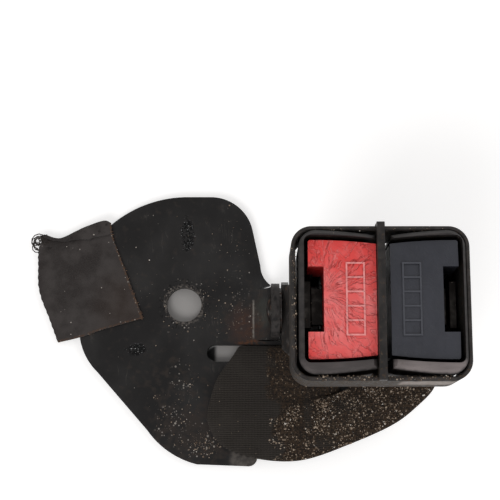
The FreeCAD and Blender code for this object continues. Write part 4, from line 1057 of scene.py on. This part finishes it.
    def grain_spots(self) -> list[tuple[list[float], list[float]]]:
        """Where grit lies on the belt's upper face, thick on the part that runs below the head.

        Returns:
            Each grain's place and the way out of the cloth.
        """
        dice = random.Random(11)
        spots = []
        while len(spots) < self.grains:
            s, t = dice.uniform(0.01, 0.99), dice.uniform(0.12, 0.97)
            here = self.belt_point(s, t, Layer.UPPER)
            x, y, _ = here
            edge = 30.0 + 3.0 * math.sin(y * 0.9) + 2.0 * math.sin(y * 2.3 + 1.0)
            share = min(1.0, max(0.03, (x - edge) / 5.0))
            bare = math.exp(-(((x - 51.0) / 6.0) ** 2) - ((y + 51.5) / 2.8) ** 2)
            if y > -48.0:
                bare = max(bare, math.exp(-(((x - 45.0 - 0.2 * (y + 40.0)) / 2.2) ** 2)))
            patch = 0.62 + 0.38 * math.sin(x * 0.55 + 2.0 * math.sin(y * 0.35))
            if dice.random() > share * patch * (1.0 - bare * 0.85):
                continue
            up = self.belt_point(s, t, Layer.LOWER)
            out = [a - b for a, b in zip(here, up)]
            size = math.hypot(*out)
            out = [v / size for v in out]
            spots.append(([p + n * self.thickness / 2 for p, n in zip(here, out)], out))
        return spots

    def grit(self, material: Material) -> Object:
        """Builds the grains of grit that lie on the belt.

        Args:
            material: Their finish.

        Returns:
            The grains.
        """
        grains = Grains("strap_grit", "webbing", seed=3, most=0.38, material=material)
        obj = grains.build(self.grain_spots())
        self.bend(obj)
        return obj

    def bend(self, obj: Object) -> None:
        """Applies a piece's transform to its mesh."""
        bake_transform(obj)

    def build(self) -> Object:
        """Builds the band.

        Returns:
            The webbing as one closed mesh.
        """
        rows = self.band_rows()
        table = [[row(i / self.columns) for i in range(self.columns + 1)] for row in rows]
        table.append(table[0])
        length = [0.0]
        middle = self.columns // 2
        for a, b in zip(table, table[1:]):
            length.append(length[-1] + math.dist(a[middle], b[middle]))
        first = len(self.slot_path)
        start = length[first]

        def weave_place(i: int, j: int) -> Pair:
            """Where the weave lies, with its ribs along X."""
            x, y, _ = table[j][i]
            if j < first:
                return x, length[j]
            return x, start + self.start_y - y

        obj = grid("webbing_strap", self.columns, len(table) - 1, lambda i, j: table[j][i], weave_place)
        merged(obj, 0.02)
        modified(obj, "ply", "SOLIDIFY", thickness=self.thickness * MM, offset=0.0, use_even_offset=True)
        modified(obj, "soften", "SUBSURF", levels=1, render_levels=1)
        smoothed(obj, 60.0)
        painted(obj, self.material)
        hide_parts("anchor_strap_loop", "belt_strap", "buckle_strap_loop")
        self.bend(obj)
        return obj


@dataclass
class Grains:
    """Loose sand and crumbs that stick to a surface, as one piece."""

    name: str
    slot: str
    seed: int
    least: float = 0.10
    most: float = 0.46
    material: Optional[Material] = None

    def build(self, spots: Sequence[tuple[Sequence[float], Sequence[float]]]) -> Object:
        """Builds the grains.

        Args:
            spots: Each grain's place on the surface, in millimetres, and the way out of it.

        Returns:
            The grains, joined into one mesh.
        """
        dice = random.Random(self.seed)
        deselect()
        bpy.ops.mesh.primitive_ico_sphere_add(subdivisions=1, radius=1.0)
        pattern = bpy.context.object
        whole = bmesh.new()
        for place, out in spots:
            size = self.least + (self.most - self.least) * dice.random() ** 3
            turn = mathutils.Euler([dice.uniform(0.0, math.tau) for _ in range(3)]).to_matrix()
            shape = [dice.uniform(0.65, 1.35) * size for _ in range(3)]
            made = {}
            for vertex in pattern.data.vertices:
                off = turn @ mathutils.Vector([c * f for c, f in zip(vertex.co, shape)])
                point = [(p + o + n * size * 0.25) * MM for p, o, n in zip(place, off, out)]
                made[vertex.index] = whole.verts.new(point)
            for face in pattern.data.polygons:
                whole.faces.new([made[k] for k in face.vertices])
        mesh = pattern.data
        whole.to_mesh(mesh)
        whole.free()
        pattern.name = self.name
        mesh.name = self.name
        smoothed(pattern, 30.0)
        painted(pattern, self.material)
        return pattern


@dataclass
class ClothPad:
    """The cloth pad on the plate's left side, with its folded top edge and frayed sides."""

    columns: int = 56
    rows: int = 60
    flap_rows: int = 12
    plate_top: float = 3.0
    thickness: float = 0.8
    fold_radius: float = 0.5
    flap_length: float = 5.2
    flat_size: Pair = (33.0, 38.0)
    threads: int = 84
    tuft_threads: int = 40
    loops: Sequence[Pair] = (
        (2.6, 5.4), (2.1, 5.8), (1.7, 5.2), (2.4, 4.6), (1.3, 5.6), (1.9, 4.9), (2.8, 4.2), (1.5, 5.5),
    )
    material: Optional[Material] = None
    thread_material: Optional[Material] = None
    dark_thread: Optional[Material] = None

    top: Sequence[Pair] = ((-52.8, 25.7), (-46.4, 24.2), (-37.2, 28.3), (-30.2, 30.7), (-27.6, 29.8))
    right: Sequence[Pair] = ((-27.6, 29.8), (-26.7, 24.9), (-22.0, 12.8), (-17.0, -0.3), (-15.1, -5.1))
    bottom: Sequence[Pair] = ((-46.5, -14.0), (-38.1, -12.2), (-30.8, -9.6), (-15.1, -5.1))
    left: Sequence[Pair] = (
        (-52.8, 25.7), (-54.5, 21.5), (-54.7, 15.8), (-54.0, 5.3), (-50.0, -5.1), (-46.5, -14.0),
    )

    def plan(self, s: float, t: float) -> Pair:
        """A point of the pad seen from above.

        Args:
            s: The share across, from the left.
            t: The share down, from the top.

        Returns:
            Its X and Y.
        """
        a, b = along_curve(self.top, s), along_curve(self.bottom, s)
        c, d = along_curve(self.left, t), along_curve(self.right, t)
        point = []
        for k in (0, 1):
            flat = (1 - t) * a[k] + t * b[k] + (1 - s) * c[k] + s * d[k]
            flat -= (1 - s) * (1 - t) * self.top[0][k] + s * (1 - t) * self.top[-1][k]
            flat -= (1 - s) * t * self.bottom[0][k] + s * t * self.bottom[-1][k]
            point.append(flat)
        return point[0], point[1]

    def height(self, x: float, y: float) -> float:
        """The middle of the cloth's thickness above the floor."""
        rest = self.plate_top + self.thickness / 2 + 0.08
        over = max(0.0, -36.5 - x + max(0.0, -y) * 0.35)
        sag = 0.010 * over**2 * 0.75
        ripple = 0.16 * math.sin(x * 0.55 + y * 0.21) + 0.12 * math.sin(y * 0.62 - x * 0.17)
        return rest - min(sag, 1.6) + (ripple + 0.28) * min(1.0, 0.5 + over * 0.1)

    def place(self, i: int, j: int) -> Point:
        """The place of a grid point; the first rows are the folded flap."""
        s = i / self.columns
        if j >= self.flap_rows:
            t = (j - self.flap_rows) / self.rows
            x, y = self.plan(s, t)
            tooth = 0.28 * abs((t * 34.0) % 2.0 - 1.0) * max(0.0, 1.0 - s * 18.0)
            frill = 0.16 * math.sin(t * 151.0) * max(0.0, (s - 0.97) * 33.0)
            return x + tooth + frill, y, self.height(x, y)
        r = self.fold_radius
        reach = self.flap_length * max(0.06, min(1.0, (s - 0.22) * 2.3))
        reach = reach * (1.0 - 0.35 * max(0.0, s - 0.86) * 7.0)
        d = (self.flap_rows - j) / self.flap_rows * (reach + math.pi * r)
        x, y = self.plan(s, 0.0)
        x1, y1 = self.plan(s, 0.1)
        size = math.hypot(x1 - x, y1 - y)
        inward = ((x1 - x) / size, (y1 - y) / size)
        z = self.height(x, y)
        angle = min(d / r, math.pi)
        far = max(0.0, d - math.pi * r) - math.sin(angle) * r
        lift = (1.0 - math.cos(angle)) * r + 0.05 * max(0.0, far)
        return x + inward[0] * far, y + inward[1] * far, z + lift

    def build(self) -> Object:
        """Builds the pad and its threads.

        Returns:
            The pad.
        """
        total = self.rows + self.flap_rows

        def share(i: int, j: int) -> Pair:
            """The shares across and down, with the flap at the top."""
            return i / self.columns, max(0.0, (j - self.flap_rows) / self.rows)

        obj = grid("pad_sheet", self.columns, total, self.place, share)
        merged(obj, 0.005)
        modified(obj, "ply", "SOLIDIFY", thickness=self.thickness * MM, offset=0.0, use_even_offset=False)
        smoothed(obj, 50.0)
        painted(obj, self.material)
        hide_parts("cloth_pad")
        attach(obj, "anchor")
        self.fray()
        return obj

    def thread(self, name: str, radius: float, length: float, bends: int) -> Object:
        """One straight thread that can be bent, from a cylinder primitive.

        Args:
            name: The piece's name.
            radius: Its radius in millimetres.
            length: Its length in millimetres.
            bends: The number of its straight runs.

        Returns:
            The thread, with its root at the origin and its run along X.
        """
        deselect()
        bpy.ops.mesh.primitive_cylinder_add(
            vertices=6,
            radius=radius * MM,
            depth=length * MM,
            rotation=(0.0, math.pi / 2, 0.0),
            location=(length * MM / 2, 0.0, 0.0),
        )
        obj = bpy.context.object
        obj.name = name
        bpy.ops.object.transform_apply(location=True, rotation=True, scale=True)
        bpy.ops.object.mode_set(mode="EDIT")
        for share in (i / bends for i in range(1, bends)):
            bpy.ops.mesh.select_all(action="SELECT")
            bpy.ops.mesh.bisect(plane_co=(length * share * MM, 0.0, 0.0), plane_no=(1.0, 0.0, 0.0))
        bpy.ops.object.mode_set(mode="OBJECT")
        return obj

    def strand(self, pattern: Object, thread: Thread) -> Object:
        """One thread bent along an arc.

        Args:
            pattern: The straight thread, one millimetre long.
            thread: The bend.

        Returns:
            The thread.
        """
        root, heading, length, curl, rise = thread
        copy = pattern.copy()
        copy.data = pattern.data.copy()
        bpy.context.scene.collection.objects.link(copy)
        for vertex in copy.data.vertices:
            run, side = vertex.co.x / MM, vertex.co.y / MM
            turn = heading + curl * run
            x = root[0] + length / curl * (math.sin(turn) - math.sin(heading)) - math.sin(turn) * side
            y = root[1] - length / curl * (math.cos(turn) - math.cos(heading)) + math.cos(turn) * side
            z = root[2] + vertex.co.z / MM + rise * run
            vertex.co = (x * MM, y * MM, z * MM)
        return copy

    def fray(self) -> list[Object]:
        """The loose threads along the raw edges.

        Returns:
            One joined object for each colour of thread.
        """
        dice = random.Random(7)
        made = []
        plans = (
            ("pad_fray", self.thread_material, 0.07, 4, self.raw_roots(dice)),
            ("pad_tuft", self.dark_thread, 0.19, 14, self.tuft_roots(dice) + self.loop_roots(dice)),
        )
        for name, material, radius, bends, roots in plans:
            pattern = self.thread(name + "_pattern", radius, 1.0, bends)
            copies = [self.strand(pattern, root) for root in roots]
            deselect()
            for copy in copies:
                copy.select_set(True)
            bpy.context.view_layer.objects.active = copies[0]
            bpy.ops.object.join()
            joined = bpy.context.object
            joined.name = name
            bpy.data.objects.remove(pattern)
            merged(joined, 0.001)
            smoothed(joined, 60.0)
            painted(joined, material)
            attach(joined, "anchor")
            made.append(joined)
        return made

    def loose(
        self,
        dice: random.Random,
        at: Pair,
        headings: Pair,
        rises: Pair,
        lengths: Pair,
        curls: Pair,
        rise: float,
        back: float = 0.0,
    ) -> Thread:
        """One loose thread, drawn at random between limits.

        Args:
            dice: The source of chance.
            at: The place seen from above.
            headings: The limits of its first direction, in degrees.
            rises: The limits of its root's height above the cloth's middle.
            lengths: The limits of its length.
            curls: The limits of its turn, in radians.
            rise: The most that its end rises or sinks.
            back: How far the root is drawn in.

        Returns:
            The thread's bend.
        """
        x, y = at
        heading = math.radians(dice.uniform(*headings))
        z = self.height(x, y) + dice.uniform(*rises)
        length, curl = dice.uniform(*lengths), dice.uniform(*curls)
        return Thread((x, y - back, z), heading, length, curl, dice.uniform(-rise, rise))

    def raw_roots(self, dice: random.Random) -> list[Thread]:
        """The short brown threads along the right and lower edges."""
        roots = []
        for k in range(self.threads):
            t = (k + dice.random()) / self.threads
            at = self.plan(0.99, t) if k % 3 else self.plan(t, 0.99)
            headings = (-110.0, -10.0) if k % 3 else (-60.0, 30.0)
            roots.append(self.loose(dice, at, headings, (-0.1, 0.3), (0.35, 1.1), (0.2, 1.2), 0.2))
        return roots

    def tuft_roots(self, dice: random.Random) -> list[Thread]:
        """The dark threads at the torn top left corner."""
        roots = []
        for _ in range(self.tuft_threads):
            at = self.plan(dice.random() * 0.14, dice.random() * 0.05)
            roots.append(self.loose(dice, at, (60.0, 215.0), (-0.3, 0.5), (0.9, 2.9), (0.3, 2.6), 0.3, 0.2))
        return roots

    def loop_roots(self, dice: random.Random) -> list[Thread]:
        """The loops of thread that hang out at the top left corner."""
        x, y = self.plan(0.03, 0.03)
        roots = []
        for radius, turn in self.loops:
            heading = math.radians(dice.uniform(95.0, 150.0))
            left, low = x + dice.uniform(-2.0, 0.6), y + dice.uniform(-1.8, 0.6)
            root = (left, low, self.height(x, y) + dice.uniform(-0.2, 0.7))
            roots.append(Thread(root, heading, radius * turn, turn, dice.uniform(-0.5, 0.4)))
        return roots


@dataclass
class Ironwork:
    """The plate, ear, rivet, washer and stalk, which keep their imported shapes."""

    plate_top: float = 3.0
    clusters: Sequence[tuple[float, float, float, float, int]] = (
        (-5.0, -43.0, 3.6, 4.4, 62), (8.0, -51.3, 3.9, 2.3, 210), (2.6, -31.0, 1.9, 4.6, 34),
        (-8.0, -36.0, 5.0, 4.0, 18), (19.0, -3.5, 4.4, 4.0, 64), (0.0, 0.0, 17.0, 20.0, 80),
        (18.0, 22.0, 5.0, 9.0, 34), (1.0, -1.0, 6.6, 6.6, 90),
    )
    bolt_clear: float = 7.2
    slot_x: float = 6.0
    slot_y: Pair = (-23.0, -13.5)

    def on_plate(self, x: float, y: float) -> bool:
        """Whether a place on the plate is bare, clear of its holes, its edge and the pad."""
        in_bolt = math.hypot(x, y) < self.bolt_clear
        in_slot = x > self.slot_x and self.slot_y[0] < y < self.slot_y[1]
        off_plate = x > 30.0 or x > 24.0 and y > 4.0 or y < -56.0 or y > 38.0
        in_pad = x < -14.0 - (y + 5.0) * 0.34 and y > -16.0
        left = -22.0 - (y + 30.0) * 0.85 if y < -30.0 else -34.0
        return x > left and not (in_bolt or in_slot or off_plate or in_pad)

    def grit(self, material: Material) -> Object:
        """Builds the grains that stick to the plate's top.

        Args:
            material: Their finish.

        Returns:
            The grains.
        """
        dice = random.Random(5)
        spots = []
        for x, y, wide, tall, count in self.clusters:
            for _ in range(count):
                place = (dice.gauss(x, wide), dice.gauss(y, tall))
                if self.on_plate(*place):
                    spots.append(((*place, self.plate_top), (0.0, 0.0, 1.0)))
        grains = Grains("plate_grit", "black_plate", seed=4, least=0.06, most=0.31, material=material)
        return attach(grains.build(spots), "anchor")

    def dress(self) -> None:
        """Gives each node its finish."""
        stalk = BareSteel(
            "stalk_steel", (0.135, 0.122, 0.116), (0.042, 0.038, 0.036), dirt=0.8, rusty=0.2, roughness=0.5
        )
        rivets = BareSteel(
            "rivet_steel", (0.14, 0.13, 0.125), (0.045, 0.040, 0.038), dirt=0.7, rusty=0.5, roughness=0.42
        )
        dress(["anchor_plate"], PlatePaint().build())
        dress(["stalk"], stalk.build())
        dress(["pivot_rivet", "pivot_washer", "stalk_rivets"], rivets.build())


@dataclass(frozen=True)
class Spring:
    """A spring, made in place of a packed one."""

    node: str
    joint: str
    material: Material
    wire: float

    def fitted(self, obj: Object, axis: Point, anchor: Sequence[float], keep: float) -> None:
        """Gives a finished spring its finish and its body.

        Args:
            obj: The spring.
            axis: The direction in which it would give way; not used.
            anchor: The seat that it would give way towards, in millimetres; not used.
            keep: The share of its length that would be left at the joint's limit; not used.
        """
        obj.name = self.node + "_wire"
        smoothed(obj, 50.0)
        painted(obj, self.material)
        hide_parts(self.node)
        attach(obj, "head")
        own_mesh(obj)


@dataclass(frozen=True)
class CoilSpring(Spring):
    """A compression spring of round wire, wound with the Screw modifier."""

    travel: float
    turns: int = 5
    steps: int = 20

    def build(self) -> None:
        """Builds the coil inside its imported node's box."""
        low, high = corners(self.node)
        half = self.wire / 2
        radius = (high[0] - low[0]) / 2 - half
        deselect()
        bpy.ops.mesh.primitive_circle_add(
            vertices=8,
            radius=half * MM,
            fill_type="NOTHING",
            rotation=(math.pi / 2, 0.0, 0.0),
            location=(radius * MM, 0.0, 0.0),
        )
        obj = bpy.context.object
        bpy.ops.object.transform_apply(location=True, rotation=True, scale=True)
        pitch = (high[2] - low[2] - self.wire) / self.turns
        modified(
            obj,
            "wind",
            "SCREW",
            axis="Z",
            angle=math.tau,
            screw_offset=pitch * MM,
            iterations=self.turns,
            steps=self.steps,
            render_steps=self.steps,
        )
        centre = ((low[0] + high[0]) / 2, (low[1] + high[1]) / 2, low[2] + half)
        for vertex in obj.data.vertices:
            vertex.co = [v + c * MM for v, c in zip(vertex.co, centre)]
        choose(obj)
        bpy.ops.object.mode_set(mode="EDIT")
        bpy.ops.mesh.select_all(action="SELECT")
        bpy.ops.mesh.fill_holes(sides=8)
        bpy.ops.object.mode_set(mode="OBJECT")
        merged(obj, 0.001)
        length = high[2] - low[2]
        self.fitted(obj, (0.0, 0.0, 1.0), (centre[0], centre[1], low[2]), (length - self.travel) / length)


@dataclass(frozen=True)
class LeafSpring(Spring):
    """The bent leaf behind a latch."""

    keep: float = 0.885

    def build(self) -> None:
        """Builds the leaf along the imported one's bends, from its foot to its toe."""
        low, high = corners(self.node)
        latch = middle(self.node.replace("_spring", ""))
        foot, toe, way = (high[0], low[0], -1.0) if latch[0] < low[0] else (low[0], high[0], 1.0)
        bends = (
            (foot + 0.20 * way, low[2] + 2.5),
            (foot + 0.20 * way, low[2] + 5.6),
            (foot + 0.32 * way, low[2] + 6.05),
            (foot + 0.75 * way, low[2] + 6.2),
            (toe - 0.85 * way, low[2] + 3.95),
            (toe - 0.40 * way, low[2] + 3.7),
            (toe - 0.20 * way, low[2] + 3.3),
            (toe - 0.20 * way, low[2]),
        )
        obj = grid(
            self.node + "_wire",
            1,
            len(bends) - 1,
            lambda i, j: (bends[j][0], low[1] + (high[1] - low[1]) * i, bends[j][1]),
            lambda i, j: (float(i), float(j)),
        )
        modified(obj, "ply", "SOLIDIFY", thickness=self.wire * MM, offset=0.0)
        merged(obj, 0.001)
        self.fitted(obj, (1.0, 0.0, 0.0), (foot, low[1], low[2]), self.keep)


@dataclass
class TwinHead:
    """The sleeve, the divider and both buckles."""

    wall: float = 1.7
    corner: float = 7.0
    grains: int = 330

    def grit(self, material: Material) -> Object:
        """Builds the dust and sand on the sleeve's rim, thickest at the left and in front.

        Args:
            material: Its finish.

        Returns:
            The grains.
        """
        low, high = corners("twin_sleeve")
        dice = random.Random(9)
        spots = []
        for k in range(self.grains):
            off = 0.15 + (self.wall - 0.15) * dice.random() ** 0.6
            at_back, at_left = k % 11 == 0, k % 11 > 0 and k % 2 == 1
            axis = 1 if at_left else 0
            run = dice.uniform(low[axis] + self.corner, high[axis] - self.corner)
            if at_left:
                place = (low[0] + off, run)
            else:
                place = (run, high[1] - off if at_back else low[1] + off)
            spots.append(((*place, high[2] - 0.05), (0.0, 0.0, 1.0)))
        grains = Grains("sleeve_grit", "sleeve_plastic", seed=6, least=0.06, most=0.30, material=material)
        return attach(grains.build(spots), "head")

    def buttons(self) -> Sequence[ButtonPlastic]:
        """The finish of each button."""
        red = ButtonPlastic(
            side=Side.RED,
            base=(0.73, 0.052, 0.047),
            pale=(0.84, 0.185, 0.180),
            crack_and_side_shade=(0.25, 0.006, 0.006),
            ridge_highlight=(0.85, 0.36, 0.35),
            rich=(0.72, 0.030, 0.027),
            crinkle=0.85,
            roughness=0.36,
            specular=0.4,
        )
        black = ButtonPlastic(
            side=Side.BLACK,
            base=(0.0185, 0.0195, 0.0265),
            pale=(0.030, 0.031, 0.040),
            crack_and_side_shade=(0.007, 0.007, 0.009),
            ridge_highlight=(0.062, 0.064, 0.076),
            rich=(0.036, 0.038, 0.046),
            crinkle=0.18,
            roughness=0.42,
            specular=0.3,
        )
        return red, black

    def dress(self) -> None:
        """Gives each node its finish."""
        dress(["twin_sleeve", "divider_plate"], SleevePlastic().build())
        housing = HousingPlastic().build()
        frame_steel = BareSteel("frame_steel", dirt=0.4, rusty=0.1).build()
        spring = BareSteel(
            "spring_wire", (0.42, 0.41, 0.40), (0.18, 0.17, 0.165), dirt=0.2, rusty=0.05, roughness=0.3
        ).build()
        slide = PlainPlastic("slide_plastic", (0.05, 0.05, 0.052), (0.09, 0.088, 0.086)).build()
        for finish in self.buttons():
            name = finish.side.value
            dress([f"{name}_button"], finish.build())
            dress([f"{name}_outer_shell", f"{name}_inner_shell"], housing)
            dress([f"{name}_frame", f"{name}_latch", f"{name}_latch_pin"], frame_steel)
            button, ejector, latch = f"{name}_button", f"{name}_ejector", f"{name}_latch"
            CoilSpring(f"{button}_spring", f"{button}_press", spring, wire=0.7, travel=6.0).build()
            CoilSpring(f"{ejector}_spring", f"{ejector}_slide", spring, wire=0.5, travel=7.0).build()
            LeafSpring(f"{latch}_spring", f"{latch}_tilt", spring, wire=0.4).build()
            dress([f"{name}_ejector"], slide)


def dress(names: Sequence[str], material: Material) -> None:
    """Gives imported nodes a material.

    Args:
        names: The nodes.
        material: Their material.
    """
    for name in names:
        painted(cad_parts[name], material)
        log.info("dressed %s in %s", name, material.name)


@dataclass
class Studio:
    """The floor, the soft lights and the camera."""

    camera_at: Point = (24.316, -70.450, 471.181)
    tilt: float = 11.0
    lens: float = 92.16
    sensor: float = 36.0
    ambient: float = 0.52
    floor_size: float = 3.0
    pale: Colour = (0.80, 0.79, 0.785)
    shaded: Colour = (0.37, 0.355, 0.345)
    glow: Colour = (1.0, 0.995, 0.99)
    lift: float = 0.46
    drop: float = 0.0004
    lit: Point = (0.03, -0.01, 0.03)
    bolt_shadow_spot: Table = ((0.0, 0.0, 8.6, 8.6, 0.12, 0.0, 1.0),)
    slot_shadow_spot: Table = ((36.0, -18.0, 32.0, 6.5, 0.15, 0.0, 1.0),)
    slot_end_shadow: Pair = (12.6, 10.8)
    black: Colour = (0.02, 0.02, 0.02)

    def placed(
        self, name: str, data: bpy.types.ID, at: Sequence[float], turn: Sequence[float]
    ) -> Object:
        """Adds a camera or light to the scene, at a place in metres with a turn in radians."""
        obj = bpy.data.objects.new(name, data)
        bpy.context.scene.collection.objects.link(obj)
        obj.location = at
        obj.rotation_euler = turn
        return obj

    def camera(self) -> None:
        """Adds the camera at the photograph's viewing angle."""
        data = bpy.data.cameras.new("camera")
        data.lens = self.lens
        data.sensor_width = self.sensor
        data.clip_start = 0.01
        data.clip_end = 20.0
        at, turn = [v * MM for v in self.camera_at], (math.radians(self.tilt), 0.0, 0.0)
        bpy.context.scene.camera = self.placed("camera", data, at, turn)

    def seen(self, g: Graph) -> Value:
        """Adds a mask that is 1 where the camera sees a thing, directly or in a reflection."""
        kinds = ("Is Camera Ray", "Is Glossy Ray", "Is Transmission Ray")
        camera, glossy, through = [g.node("ShaderNodeLightPath", output=kind) for kind in kinds]
        return camera.most(glossy).most(through)

    def world(self) -> None:
        """Lights the scene evenly and shows plain white to the camera."""
        g = Graph("studio", world=True)
        bpy.context.scene.world = g.owner
        light, plain = [
            g.node("ShaderNodeBackground", None, {"Color": (1.0, 1.0, 1.0), "Strength": strength})
            for strength in (self.ambient, 1.0)
        ]
        g.finish(g.node("ShaderNodeMixShader", None, {0: self.seen(g), 1: light, 2: plain}))

    def floor(self) -> None:
        """Adds the pale floor, which keeps the object's shadow, with painted shadow under the bolt hole and
        the slot.
        """
        deselect()
        bpy.ops.mesh.primitive_plane_add(size=self.floor_size, location=(0.0, 0.0, -self.drop))
        obj = bpy.context.object
        obj.name = "floor"
        g = Graph("pale_floor")
        # Painted shadow: under the bolt hole and slot the floor is darker and does not glow, and near black
        # at the slot's left end.
        slot = g.spots(self.slot_shadow_spot)
        holes = (g.spots(self.bolt_shadow_spot) + slot).capped()
        shade = g.mix(slot * g.smooth(g.x, *self.slot_end_shadow), self.shaded, self.black)
        matt = g.node("ShaderNodeBsdfDiffuse", None, {"Color": g.mix(holes, self.pale, shade)})
        shown = self.seen(g) * (self.lift - holes * self.lift)
        glow = g.node("ShaderNodeEmission", None, {"Color": self.glow, "Strength": shown})
        g.finish(g.node("ShaderNodeAddShader", None, {0: matt, 1: glow}))
        obj.data.materials.append(g.owner)

    def lamp(self, name: str, at: Point, size: float, power: float) -> None:
        """Adds a square area light aimed at the object.

        Args:
            name: Its name.
            at: Its place in metres.
            size: Its side in metres.
            power: Its power in watts.
        """
        data = bpy.data.lights.new(name, "AREA")
        data.shape = "SQUARE"
        data.size = size
        data.energy = power
        aim = [t - p for t, p in zip(self.lit, at)]
        tilt = math.atan2(math.hypot(aim[0], aim[1]), -aim[2])
        self.placed(name, data, at, (tilt, 0.0, math.atan2(-aim[0], aim[1])))

    def build(self) -> None:
        """Builds the studio."""
        self.camera()
        self.world()
        self.floor()
        self.lamp("key", (-0.35, -0.75, 0.95), 0.55, 5.2)
        self.lamp("fill", (0.75, 0.35, 0.85), 0.7, 2.0)
        bpy.context.scene.view_settings.view_transform = "Standard"


def main() -> None:
    """Builds the scene in order and reports the dressed nodes, the webbing and the pad."""
    logging.basicConfig(level=logging.INFO, format="%(name)s: %(message)s")
    Studio().build()
    ironwork = Ironwork()
    ironwork.dress()
    sand = Sand().build()
    ironwork.grit(sand)
    head = TwinHead()
    head.dress()
    head.grit(sand)
    weave = BeltWeave().build()
    belt = BeltStrap.from_frame(weave)
    strap = belt.build()
    belt.grit(sand)
    log.info("built %s, %d faces", strap.name, len(strap.data.polygons))
    pad = ClothPad(
        material=PadFelt().build(),
        thread_material=RawThread("raw_thread", (0.16, 0.075, 0.04), (0.30, 0.20, 0.13)).build(),
        dark_thread=RawThread("dark_thread", (0.022, 0.018, 0.016), (0.06, 0.05, 0.045)).build(),
    ).build()
    log.info("built %s, %d faces", pad.name, len(pad.data.polygons))


if __name__ == "__main__":
    main()
